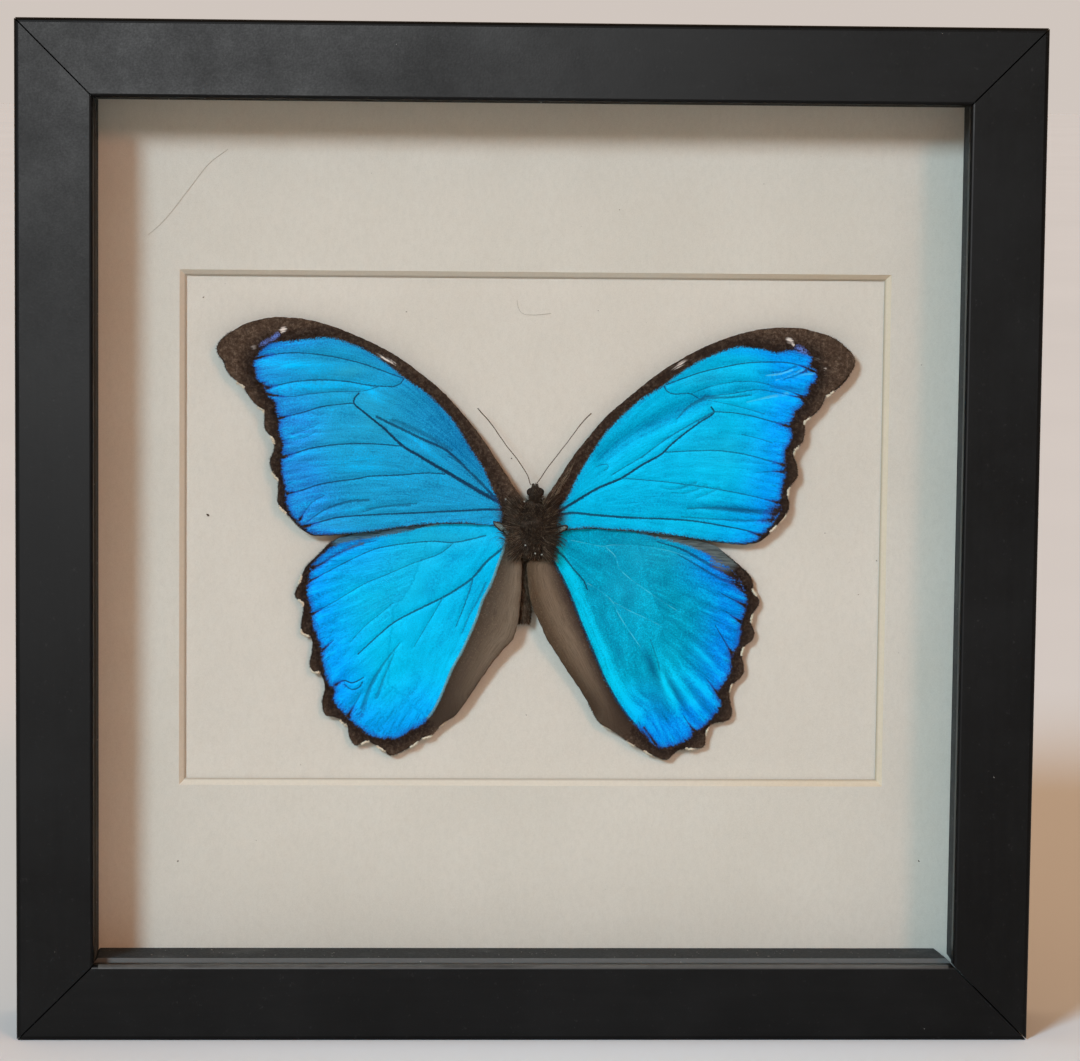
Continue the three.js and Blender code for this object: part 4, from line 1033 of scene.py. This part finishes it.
def underside_look():
    """Brown underside of the wings, with darker bands."""
    look = Look("wing_underside", Roughness=0.75, Specular_IOR_Level=0.3)
    bands = look.noise(120, 3, 0.6, stretch=(1, 1, 0.4))
    dust = look.noise(4200, 2)
    base = look.ramp(
        bands, [(0.35, (0.06, 0.035, 0.02)), (0.6, (0.13, 0.085, 0.05)), (0.75, (0.24, 0.18, 0.12))]
    )
    look.feed("Base Color", look.mix(look.line(dust, 0.3, 0.7, 0, 0.3), base, (0.04, 0.025, 0.016)))
    look.bump(dust, 0.3, 0.0001)
    return look.material


def wing_parts():
    """Everything that sets one wing apart from the others."""
    plain = [(0, (0.1, 0.07, 0.05)), (1, (0.1, 0.07, 0.05))]
    # The lighter middle stops of these fold ramps are a painted highlight along the raised fold.
    left_fold = [
        (0.0, (0.055, 0.04, 0.028)), (0.35, (0.105, 0.075, 0.052)), (0.8, (0.19, 0.143, 0.1)),
        (1, (0.12, 0.084, 0.057)),
    ]
    right_fold = [
        (0.0, (0.022, 0.014, 0.018)), (0.12, (0.065, 0.045, 0.034)), (0.42, (0.2, 0.148, 0.102)),
        (0.6, (0.18, 0.133, 0.09)), (0.84, (0.1, 0.068, 0.042)), (1, (0.08, 0.053, 0.032)),
    ]
    trough = read_points("38.2,29.3 32.6,26.3 27,23.2 21.3,20.1 15.8,16")
    left_strip = read_points("-14,3 -20,3 -28,2 -36,-0.6 -41.1,-2.4")
    right_strip = read_points("14,2 20,1.6 27,0.2 34,-2 39.5,-4.1 43.3,-6.4")
    azure = (0.0, 0.33, 0.94)
    deep_azure = (0.014, 0.24, 0.66)
    dark = (0.03, 0.02, 0.03)
    shared = dict(underside=underside_look(), marks=[], troughs=[], costa=None, fold_count=0)
    # Each wing's deep, base and bright blues differ with how its tilt catches the light: painted iridescent
    # sheen and shade, one set per wing.
    wings = {
        "forewing_left": dict(
            outline=LEFT_FOREWING, blue=LEFT_FOREWING_BLUE, rim=(14, 34), veins=LEFT_FOREWING_VEINS,
            patches=LEFT_FOREWING_PATCHES, marks=LEFT_FOREWING_MARKS, lift=FOREWING_LIFT, seed=11,
            root=(-4, 3),
            tones=((0.0, 0.12, 0.3), (0.01, 0.29, 0.53), (0.0, 0.46, 0.9), deep_azure, plain, dark, dark),
        ),
        "forewing_right": dict(
            outline=RIGHT_FOREWING, blue=RIGHT_FOREWING_BLUE, rim=(14, 39), veins=RIGHT_FOREWING_VEINS,
            patches=RIGHT_FOREWING_PATCHES, marks=RIGHT_FOREWING_MARKS, lift=FOREWING_LIFT, seed=23,
            troughs=[(trough, 1.9, 0.5, -0.75)], root=(4, 2.6),
            tones=((0.0, 0.2, 0.42), (0.0, 0.44, 0.73), (0.0, 0.6, 0.96), azure, plain, dark, dark),
        ),
        "hindwing_left": dict(
            outline=LEFT_HINDWING, blue=LEFT_HINDWING_BLUE, rim=(11, 33), veins=LEFT_HINDWING_VEINS,
            patches=LEFT_HINDWING_PATCHES, lift=HINDWING_LIFT, seed=37, root=(-3.6, -2), costa=left_strip,
            fold_count=FOLD_COUNT, inner_from=44, painted_fold_highlight=0.12,
            tones=(
                (0.0, 0.2, 0.45), (0.0, 0.44, 0.74), (0.0, 0.6, 0.98), azure, left_fold,
                (0.15, 0.3, 0.3), (0.075, 0.17, 0.235),
            ),
        ),
        "hindwing_right": dict(
            outline=RIGHT_HINDWING, blue=RIGHT_HINDWING_BLUE, rim=(11, 34), veins=RIGHT_HINDWING_VEINS,
            patches=RIGHT_HINDWING_PATCHES, lift=HINDWING_LIFT, seed=41, root=(3.2, -3), costa=right_strip,
            fold_count=FOLD_COUNT, inner_from=39, painted_fold_highlight=0.95,
            tones=(
                (0.0, 0.12, 0.25), (0.0, 0.31, 0.49), (0.0, 0.64, 0.96), (0.0, 0.24, 0.8), right_fold,
                (0.012, 0.012, 0.03), (0.12, 0.15, 0.15),
            ),
        ),
    }
    for name, part in wings.items():
        part["look"] = wing_look(name + "_scales", *part["tones"])
    return {name: {**shared, **part} for name, part in wings.items()}


# ------------------------------------------------------------------ strands, tubes and lumps


def mesh_piece(name, points, faces, looks, indices):
    mesh = bpy.data.meshes.new(name)
    mesh.from_pydata(np.asarray(points).tolist(), [], [tuple(f) for f in faces])
    for look in looks:
        mesh.materials.append(look)
    mesh.polygons.foreach_set("use_smooth", [True] * len(mesh.polygons))
    mesh.polygons.foreach_set("material_index", indices)
    piece = bpy.data.objects.new(name, mesh)
    bpy.context.scene.collection.objects.link(piece)
    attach(piece, "root")
    return piece


def hairs(roots, directions, lengths, droop, radius, bends=3):
    """Tapered three-sided hairs. Each leaves its root along its direction and bends by droop to its tip."""
    roots, directions, droop = (np.asarray(a, float) for a in (roots, directions, droop))
    directions = directions / np.linalg.norm(directions, axis=1)[:, None]
    lengths = np.asarray(lengths, float)[:, None]
    side = np.cross(directions, (0.31, 0.2, 0.93))
    side /= np.linalg.norm(side, axis=1)[:, None]
    other = np.cross(directions, side)
    count = len(roots)
    rings = []
    for k in range(bends):
        t = k / bends
        middle = roots + directions * lengths * t + droop * lengths * t * t
        for corner in range(3):
            angle = 2 * math.pi * corner / 3
            thick = radius * (1 - t * 0.75)
            rings.append(middle + thick * (side * math.cos(angle) + other * math.sin(angle)))
    rings.append(roots + directions * lengths + droop * lengths)
    points = np.stack(rings, axis=1)
    per = bends * 3 + 1
    pattern = []
    for k in range(bends - 1):
        for corner in range(3):
            after = (corner + 1) % 3
            pattern.append((k * 3 + corner, k * 3 + after, (k + 1) * 3 + after, (k + 1) * 3 + corner))
    last = (bends - 1) * 3
    pattern += [(last + corner, last + (corner + 1) % 3, per - 1) for corner in range(3)]
    pattern.append((2, 1, 0))
    faces = [tuple(i * per + j for j in face) for i in range(count) for face in pattern]
    return points.reshape(-1, 3), faces


def ring_faces(rings, sides):
    """Four-sided faces between rings of points that follow one another."""
    faces = []
    for k in range(rings - 1):
        for s in range(sides):
            t = (s + 1) % sides
            faces.append((k * sides + s, (k + 1) * sides + s, (k + 1) * sides + t, k * sides + t))
    return faces


def closed_faces(rings, sides, flip=False):
    """The bands, and a fan round each of the two poles, which are the last two points."""
    faces = ring_faces(rings, sides)
    pole, last = rings * sides, (rings - 1) * sides
    for s in range(sides):
        t = (s + 1) % sides
        faces += [(pole, s, t), (pole + 1, last + t, last + s)]
    return [(face[0], *reversed(face[1:])) for face in faces] if flip else faces


def tube(line, radii, sides=8):
    """A closed tube round a line of points, with a radius at each."""
    line = np.asarray(line, float)
    along = np.gradient(line, axis=0)
    along /= np.linalg.norm(along, axis=1)[:, None]
    side = np.cross(along, (0.0, 1.0, 0.0))
    side /= np.linalg.norm(side, axis=1)[:, None]
    other = np.cross(along, side)
    turn = np.arange(sides) * 2 * math.pi / sides
    ring = side[:, None] * np.cos(turn)[None, :, None] + other[:, None] * np.sin(turn)[None, :, None]
    points = (line[:, None] + ring * np.asarray(radii)[:, None, None]).reshape(-1, 3)
    faces = ring_faces(len(line), sides)
    faces.append(tuple(range(sides)))
    faces.append(tuple(reversed(range((len(line) - 1) * sides, len(line) * sides))))
    return points, faces


def lump(middle, radii, turn=0.0, rough=0.0, seed=0, rings=14, sides=20):
    """A closed oval lump, unevenly swollen by rough, turned in the wing plane."""
    points = []
    for r in range(1, rings):
        polar = math.pi * r / rings
        out = math.sin(polar)
        for s in range(sides):
            angle = 2 * math.pi * s / sides
            points.append((out * math.cos(angle), out * math.sin(angle), math.cos(polar)))
    points += [(0, 0, 1), (0, 0, -1)]
    points = np.array(points)
    swell = np.array([1 + rough * noise.noise(Vector(p) * 2.6 + Vector((seed, 0, 0))) for p in points])
    points = points * swell[:, None] * np.array(radii)
    x, y, z = points.T
    c, s = math.cos(turn), math.sin(turn)
    points = np.column_stack([x * c - z * s, y, x * s + z * c])
    return points + np.array(middle), closed_faces(rings - 1, sides)


class Heap:
    """Gathers closed shapes into one mesh, each with a material index."""

    def __init__(self):
        self.points = []
        self.faces = []
        self.indices = []
        self.count = 0

    def add(self, shape, index=0):
        points, faces = shape
        self.points.append(np.asarray(points))
        self.faces += [tuple(i + self.count for i in face) for face in faces]
        self.indices += [index] * len(faces)
        self.count += len(points)

    def piece(self, name, slot, looks, shift=(0, 0, 0)):
        points = (np.vstack(self.points) + np.array(shift)) * MM
        return mesh_piece(name, points, self.faces, looks, self.indices)


AT_THORAX = (THORAX[0], BOARD_Y, THORAX[1])
HAIR = 0.05

# ------------------------------------------------------------------ body


def chitin_look(name, dark, light, scale=1800):
    look = Look(name, Specular_IOR_Level=0.03)
    grain = look.noise(scale, 4, 0.7)
    look.feed("Base Color", look.ramp(grain, [(0.3, dark), (0.7, light)]))
    look.feed("Roughness", look.line(grain, 0.3, 0.7, 0.5, 0.8))
    look.bump(grain, 0.5, 0.0001)
    return look.material


def body_looks():
    return {
        "body": chitin_look("body_chitin", (0.016, 0.0115, 0.008), (0.065, 0.048, 0.035)),
        "hair": chitin_look("body_hair", (0.021, 0.015, 0.0105), (0.075, 0.055, 0.04), 700),
        "brown_hair": chitin_look("brown_hair", (0.05, 0.032, 0.02), (0.13, 0.088, 0.058), 700),
        "tan_hair": chitin_look("tan_hair", (0.15, 0.105, 0.07), (0.3, 0.225, 0.155), 700),
        "pale": chitin_look("pale_scales", (0.3, 0.3, 0.26), (0.6, 0.6, 0.54), 2500),
        "silver": chitin_look("wing_hinge_plate", (0.03, 0.055, 0.055), (0.26, 0.33, 0.31), 2600),
        "eye": chitin_look("eye", (0.009, 0.007, 0.006), (0.05, 0.036, 0.026), 5200),
        "cream": chitin_look("cream_fringe", (0.66, 0.57, 0.42), (0.9, 0.82, 0.66), 2500),
        "soot": chitin_look("dark_fringe", (0.011, 0.008, 0.006), (0.045, 0.032, 0.024), 2500),
    }


def add_fur(heap, roots, aim, lengths, droop, radius, shares, rng):
    """Hairs dealt out at random among several materials, each with its share of them."""
    dealt = rng.choice(list(shares), len(roots), p=list(shares.values()))
    droop = np.broadcast_to(droop, roots.shape)
    for index in shares:
        chosen = dealt == index
        if chosen.any():
            heap.add(hairs(roots[chosen], aim[chosen], lengths[chosen], droop[chosen], radius), index)


def body_surface(profile, x, lift, flat, rng, count, low=-1e9, high=1e9):
    """Random points on the front half of a turned body and the outward directions there, in millimetres."""
    heights = np.array([z for _, z in profile])
    widths = np.array([r for r, _ in profile])
    z = rng.uniform(max(low, heights.min() + 0.2), min(high, heights.max() - 0.2), count)
    radius = np.interp(z, heights, widths)
    angle = rng.uniform(-1.75, 1.75, count)
    out = np.column_stack([np.sin(angle), -np.cos(angle), np.zeros(count)])
    points = np.column_stack([x + radius * out[:, 0], -lift + radius * flat * out[:, 1], z])
    return points, out


THORAX_PROFILE = read_points("0,-6.6 1.6,-6.2 2.7,-4.6 3.3,-2 3.4,0.8 3.1,3.2 2.3,5 1.2,6 0,6.2")
ABDOMEN_PROFILE = read_points("0,-21.8 1.1,-21.7 1.3,-20.6 1.45,-17 1.4,-12 1.2,-9 0.8,-7.3 0,-7.1")


def turned(profile, x, lift, flat, rough, seed, sides=40, steps=60):
    """A turned body with an uneven surface, closed at both ends, placed from the thorax and the board."""
    line = smooth(profile, 0.2, False)
    line = line[np.linspace(0, len(line) - 1, min(steps, len(line))).astype(int)]
    points = []
    for radius, z in line[1:-1]:
        for s in range(sides):
            angle = 2 * math.pi * s / sides
            swell = 1 + rough * noise.noise((math.cos(angle) * 1.6, math.sin(angle) * 1.6, z * 0.55 + seed))
            r = max(radius, 0.05) * swell
            points.append((x + r * math.cos(angle), -lift + flat * r * math.sin(angle), z))
    points += [(x, -lift, line[0][1]), (x, -lift, line[-1][1])]
    return np.array(points), closed_faces(len(line) - 2, sides, flip=True)


def hinge_plate(heap, x, z, lift, half_length, turn):
    """A silvery plate at a wing's root on a dark, slightly larger one."""
    heap.add(lump((x, -lift, z), (half_length + 0.3, 0.22, 0.8), turn, 0.3, x), 0)
    heap.add(lump((x, -lift - 0.15, z), (half_length, 0.24, 0.46), turn, 0.55, x + z), 1)


# Each plate's place across and up, lift, half-length and turn; each tuft's place across and up.
HINGE_PLATES = read_points(
    "-7,0,4.6,1.7,-0.6 -5,-1.5,4.9,1.5,-0.62 4.5,-1.5,4.9,1.6,0.5 6.3,-0.5,4.6,1.4,0.46"
)
PALE_TUFTS = read_points("-6,6.3 -4.1,2.9 -1.9,6 -1.6,-3.8 2.1,-5.9 2.4,-2.2 0.6,-5.6 -2.9,1.2 3,0.4")


def build_thorax(looks, rng):
    """Furry thorax whose hair spreads over the wing roots, with the hinge plates and a few pale tufts."""
    heap = Heap()
    heap.add(turned(THORAX_PROFILE, 0, 4, 0.925, 0.22, 2.0))
    for plate in HINGE_PLATES:
        hinge_plate(heap, *plate)
    for x, z in PALE_TUFTS:
        lift = 4 + 3.1 * math.sqrt(max(0.05, 1 - (x / 3.9) ** 2)) if abs(x) < 3.4 else 5.2
        heap.add(lump((x, -lift, z), (0.2, 0.16, 0.17), 0, 0.4, x * z, 8, 10), 2)
    points, out = body_surface(THORAX_PROFILE, 0, 4, 0.925, rng, 5200)
    lean = np.column_stack([out[:, 0] * 0.4, np.full(len(out), -0.1), np.full(len(out), -0.7)])
    lean += rng.normal(0, 0.4, lean.shape)
    length = rng.uniform(0.5, 1.3, len(points))
    add_fur(heap, points, out * 0.6 + lean, length, (0, 0.25, -0.3), HAIR, {3: 0.62, 4: 0.29, 5: 0.09}, rng)
    points, out = body_surface(THORAX_PROFILE, 0, 4, 0.925, rng, 2400, -2.5, 5)
    points += out * 0.25
    aim = out * 0.9 + rng.normal(0, 0.55, out.shape)
    length = rng.uniform(0.5, 1.0, len(points))
    add_fur(heap, points, aim, length, (0, 0.3, -0.4), HAIR, {3: 0.66, 4: 0.27, 5: 0.07}, rng)
    count = 3000
    side = np.where(rng.random(count) < 0.5, -1.0, 1.0)
    z = rng.uniform(-6.4, 5.6, count)
    reach = rng.uniform(2.2, 4.6, count)
    over_wing = -wing_lift(reach, np.where(z > -1, 2.8, 2.0)) - rng.uniform(0.3, 1.1, count)
    roots = np.column_stack([side * reach, over_wing, z])
    aim = np.column_stack([side * (reach + 1.0), rng.uniform(-0.6, 0.4, count), (z + 0.6) * 0.9])
    aim = aim + rng.normal(0, 0.5, (count, 3))
    length = rng.uniform(1.0, 2.9, count)
    add_fur(heap, roots, aim, length, (0, 0.16, 0), HAIR, {3: 0.58, 4: 0.32, 5: 0.1}, rng)
    count = 700
    roots = np.column_stack(
        [rng.uniform(-2.4, 2.4, count), -rng.uniform(4.2, 6.2, count), rng.uniform(-6.6, -5.0, count)]
    )
    aim = np.column_stack([rng.normal(0, 0.3, count), rng.normal(0.1, 0.2, count), np.full(count, -1.0)])
    length = rng.uniform(0.6, 1.5, count)
    add_fur(heap, roots, aim, length, (0, 0.2, 0), HAIR, {3: 0.6, 4: 0.3, 5: 0.1}, rng)
    count = 60
    along = rng.uniform(0, 1, count)
    x = 4.6 + along * 3.6 + rng.normal(0, 0.35, count)
    roots = np.column_stack([x, -np.interp(along, [0, 1], [5.0, 4.3]), 6.6 + along * 6.2])
    aim = np.column_stack(
        [rng.normal(0.5, 0.06, count), rng.normal(0, 0.05, count), rng.normal(0.86, 0.06, count)]
    )
    add_fur(heap, roots, aim, rng.uniform(1.2, 2.6, count), (0, 0.04, 0), HAIR, {5: 1.0}, rng)
    order = [looks[k] for k in ("body", "silver", "pale", "hair", "brown_hair", "tan_hair")]
    return heap.piece("thorax_fur", "insect_body", order, shift=AT_THORAX)


def build_abdomen(looks, rng):
    """Narrow dried abdomen, mostly sunk between the folds, with a ragged pale tuft at its end."""
    heap = Heap()
    heap.add(turned(ABDOMEN_PROFILE, -1.5, 1.85, 0.72, 0.2, 5.0, 28), 1)
    points, out = body_surface(ABDOMEN_PROFILE, -1.5, 1.85, 0.72, rng, 2200)
    aim = out * 0.4 + np.array((0, 0, -1.0)) + rng.normal(0, 0.16, out.shape)
    length = rng.uniform(0.6, 1.3, len(points))
    # Hairs on the left side take darker materials: a painted shadow between the left fold and the abdomen.
    shaded = points[:, 0] < rng.uniform(-2.3, -1.7, len(points))
    for chosen, shares in ((shaded, {0: 0.7, 1: 0.3}), (~shaded, {1: 0.8, 2: 0.2})):
        add_fur(heap, points[chosen], aim[chosen], length[chosen], (0, 0.15, -0.1), 0.045, shares, rng)
    ends = np.column_stack(
        [rng.uniform(-2.7, -0.4, 300), -rng.uniform(1.4, 2.4, 300), rng.uniform(-21.7, -20.6, 300)]
    )
    aim = np.column_stack([rng.normal(0, 0.22, 300), rng.normal(0, 0.15, 300), np.full(300, -1.0)])
    add_fur(heap, ends, aim, rng.uniform(0.3, 1.1, 300), (0, 0, -0.05), HAIR, {1: 0.6, 2: 0.4}, rng)
    order = [looks[k] for k in ("hair", "brown_hair", "tan_hair")]
    return heap.piece("abdomen_scales", "insect_body", order, shift=AT_THORAX)


def build_head(looks, rng):
    """Rough dark head with a beaded eye at each side and the furry palps between the antennae."""
    heap = Heap()
    heap.add(lump((0.6, -4.6, 7.35), (1.35, 1.3, 1.7), 0, 0.3, 3.0, 18, 26))
    for side in (-1, 1):
        heap.add(lump((0.6 + side * 1.1, -4.9, 7.9), (0.84, 0.85, 0.92), side * 0.3, 0.06, side, 20, 28), 1)
        heap.add(lump((0.5 + side * 0.33, -5.2, 8.9), (0.42, 0.45, 0.7), side * -0.12, 0.35, side + 4.0), 0)
    out = rng.normal(0, 1, (2600, 3))
    out[:, 1] = -np.abs(out[:, 1])
    out /= np.linalg.norm(out, axis=1)[:, None]
    out = out[(np.abs(out[:, 0]) < 0.75) | (rng.random(len(out)) < 0.2)]
    roots = np.array((0.6, -4.6, 7.3)) + out * np.array((1.45, 1.35, 1.65))
    roots[::2] = (np.array((0.6, -4.4, 6.4)) + out * np.array((1.9, 1.5, 0.9)))[::2]
    aim = out + rng.normal(0, 0.6, out.shape)
    length = rng.uniform(0.2, 0.6, len(out))
    add_fur(heap, roots, aim, length, (0, 0.1, 0.1), 0.04, {2: 0.66, 3: 0.28, 4: 0.06}, rng)
    side = np.where(rng.random(700) < 0.5, -1, 1)
    roots = np.column_stack(
        [0.5 + side * rng.uniform(0.1, 0.6, 700), -rng.uniform(5.0, 5.5, 700), rng.uniform(8.5, 9.7, 700)]
    )
    aim = np.column_stack([side * 0.5, np.full(700, -0.7), np.full(700, 0.6)])
    aim = aim + rng.normal(0, 0.5, (700, 3))
    add_fur(heap, roots, aim, rng.uniform(0.2, 0.5, 700), (0, 0, 0.1), 0.04, {2: 0.6, 3: 0.3, 4: 0.1}, rng)
    order = [looks[k] for k in ("body", "eye", "hair", "brown_hair", "tan_hair")]
    return heap.piece("head_with_eyes", "insect_body", order, shift=AT_THORAX)


LEFT_ANTENNA = read_points(
    "-0.5,9.5,5.2 -1.4,12,5.6 -3.2,14.8,5.8 -5.9,18.2,5.6 -9.6,23.3,4.9 -12.4,26.5,4.2"
)
RIGHT_ANTENNA = read_points("0.8,9.7,5.2 3.6,13.9,5.7 7.7,19.3,5.5 10.8,23.4,4.9 12.9,25.5,4.4")


def build_antenna(name, route, look):
    """A thread of about forty joints, each a little swollen, hardly thicker toward its tip."""
    line = smooth([(x, -lift, z) for x, z, lift in route], 0.11, False)
    run = np.linspace(0, 1, len(line))
    joints = 0.5 + 0.5 * np.cos(np.arange(len(line)) * 0.11 * 2 * math.pi / 0.55)
    radii = 0.082 + 0.026 * joints + 0.02 * step(run, 0.7, 0.95)
    radii[0] = radii[-1] = 0.06
    sideways = wander(np.column_stack([run * 20, run * 0]), 2, 1.5)
    wobble = np.column_stack([sideways, run * 0, run * 0]) * 0.07
    heap = Heap()
    heap.add(tube(line + wobble, radii, 8))
    return heap.piece(name, "insect_body", [look], shift=AT_THORAX)


def build_fringe(edges, looks, rng):
    """Short scales round the outer margins: soot brown, and cream in the notches."""
    heap = Heap()
    for edge, lift, cream, start, end in edges:
        ahead = np.roll(edge, -1, axis=0) - np.roll(edge, 1, axis=0)
        away = np.column_stack([ahead[:, 1], -ahead[:, 0]])
        away /= np.linalg.norm(away, axis=1)[:, None]
        probe = edge + away * 0.3
        away[inside(probe, edge)] *= -1
        order = np.arange(len(edge))
        margin = order[(order >= start * len(edge)) & (order <= end * len(edge))]
        picks = np.repeat(margin, 8)
        spots = edge[picks] + rng.uniform(-0.16, 0.16, (len(picks), 2)) - away[picks] * 0.08
        from_cream = np.min([np.hypot(*(spots - np.array(c)).T) for c in cream], axis=0)
        creamy = from_cream < rng.uniform(0.7, 1.35, len(spots))
        height = wing_lift(spots[:, 0], lift) + 0.05
        roots = np.column_stack([spots[:, 0], -height, spots[:, 1]])
        aim = np.column_stack([away[picks][:, 0], rng.uniform(-0.1, 0.25, len(picks)), away[picks][:, 1]])
        aim += rng.normal(0, 0.22, aim.shape)
        length = np.where(creamy, rng.uniform(0.4, 0.66, len(picks)), rng.uniform(0.12, 0.3, len(picks)))
        for chosen, index, thick in ((~creamy, 0, 0.05), (creamy, 1, 0.11)):
            flat = np.zeros((chosen.sum(), 3))
            heap.add(hairs(roots[chosen], aim[chosen], length[chosen], flat, thick, 2), index)
    return heap.piece("wing_fringes", "wing_blue", [looks["soot"], looks["cream"]], shift=AT_THORAX)


# ------------------------------------------------------------------ loose dirt


# Flecks on the two cards and nicks in the rails: place across and up in the frame, half-length.
ON_BOARD = read_points("""
    -71,115.2,0.36 -72.1,163.8,0.18 -27.1,160.9,0.15 -3.4,128.3,0.18 15.6,161.5,0.12 67.2,111.9,0.13
    -50.1,58.9,0.11 0.5,70.4,0.12 79,105.7,0.15 75,98,0.13
""")
ON_MAT = read_points("89.7,37.5,0.2 -77.5,37.2,0.2 20,184,0.12 -60,42,0.1 52,190,0.1 88,150,0.12")
ON_RAILS = read_points("103.8,59.6,0.18 89.4,2.7,0.16 88.8,223.6,0.14 -104,20,0.12 -30,220,0.12")


def add_specks(heap, places, y, depth, rough, rng):
    """Small flattened lumps on a face that lies at y."""
    for x, z, size in places:
        heap.add(lump((x, y, z), (size, depth, size * 0.6), rng.uniform(-1, 1), rough, x, 7, 9))


def build_dirt(rng):
    """Flecks and two stray hairs on the card, dust on the spacers and nicks in the rails."""
    dark = chitin_look("fleck", (0.05, 0.035, 0.025), (0.16, 0.12, 0.09), 3000)
    grey = chitin_look("stray_hair", (0.26, 0.23, 0.19), (0.4, 0.36, 0.3), 3000)
    white = chitin_look("pale_nick", (0.12, 0.115, 0.1), (0.3, 0.29, 0.26), 3000)
    front = {k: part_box(k)[0].y / MM for k in ("mount_board", "window_mat", "rail_top")}
    flecks = Heap()
    add_specks(flecks, ON_BOARD, front["mount_board"] - 0.05, 0.07, 0.8, rng)
    add_specks(flecks, ON_MAT, front["window_mat"] - 0.05, 0.07, 0.8, rng)
    flecks.piece("card_flecks", "mat_card", [dark])
    strays = Heap()
    on_mat = read_points("-84.2,177.6 -80.9,180.6 -75.3,187.7 -70.9,193.3 -66.7,196.6")
    on_board = read_points("-2.5,163.6 -2.2,162 -1.2,160.7 1.6,160.4 5.1,160.8")
    for route, surface in ((on_mat, "window_mat"), (on_board, "mount_board")):
        line = smooth([(x, front[surface] - 0.08, z) for x, z in route], LINE_STEP, False)
        strays.add(tube(line, np.full(len(line), 0.03), 5))
    strays.piece("stray_hairs", "mat_card", [grey])
    nicks = Heap()
    add_specks(nicks, ON_RAILS, front["rail_top"] + 0.02, 0.06, 0.9, rng)
    nicks.piece("rail_nicks", "frame_black", [white])
    lint = Heap()
    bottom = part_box("spacer_bottom")[1].z / MM
    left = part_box("spacer_left")[1].x / MM
    for _ in range(60):
        side = rng.integers(0, 3)
        along = rng.uniform(-90, 90)
        y = rng.uniform(-9.5, 0)
        size = rng.uniform(0.06, 0.2)
        x, z = (left + 0.02, 112.5 + along) if side == 0 else (along, bottom + 0.02)
        lint.add(lump((x, y, z), (size, size, size * 0.7), rng.uniform(-1, 1), 0.9, along, 6, 8))
    lint.piece("spacer_lint", "spacer_card", [white])


def floor_look():
    look = Look("floor", Roughness=0.9, Specular_IOR_Level=0.2)
    look.feed(
        "Base Color", look.ramp(look.noise(3, 3), [(0.3, (0.72, 0.75, 0.76)), (0.7, (0.75, 0.78, 0.79))])
    )
    return look.material


def add_floor():
    half = 12
    mesh = bpy.data.meshes.new("floor")
    mesh.from_pydata(
        [(-half, -half, 0), (half, -half, 0), (half, half, 0), (-half, half, 0)], [], [(0, 1, 2, 3)]
    )
    mesh.materials.append(floor_look())
    floor = bpy.data.objects.new("floor", mesh)
    bpy.context.scene.collection.objects.link(floor)


# ------------------------------------------------------------------ scene


def build_butterfly():
    rng = np.random.default_rng(5)
    looks = body_looks()
    edges = []
    margins = {
        "forewing_left": (LEFT_FOREWING_CREAM, 0.44, 0.72),
        "forewing_right": (RIGHT_FOREWING_CREAM, 0.42, 0.71),
        "hindwing_left": (LEFT_HINDWING_CREAM, 0.24, 0.73),
        "hindwing_right": (RIGHT_HINDWING_CREAM, 0.24, 0.74),
    }
    for name, part in wing_parts().items():
        wing, edge = build_wing(name + "_skin", part)
        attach(wing, "root")
        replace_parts(wing, name)
        edges.append((edge, part["lift"], *margins[name]))
    build_fringe(edges, looks, rng)
    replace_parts(build_thorax(looks, rng), "butterfly_thorax")
    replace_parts(build_abdomen(looks, rng), "butterfly_abdomen")
    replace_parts(build_head(looks, rng), "butterfly_head")
    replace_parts(build_antenna("antenna_left_thread", LEFT_ANTENNA, looks["brown_hair"]), "antenna_left")
    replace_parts(build_antenna("antenna_right_thread", RIGHT_ANTENNA, looks["brown_hair"]), "antenna_right")
    build_dirt(rng)


def main():
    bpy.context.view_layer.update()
    add_camera()
    add_light()
    dress_frame(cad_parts)
    build_butterfly()
    add_floor()


main()
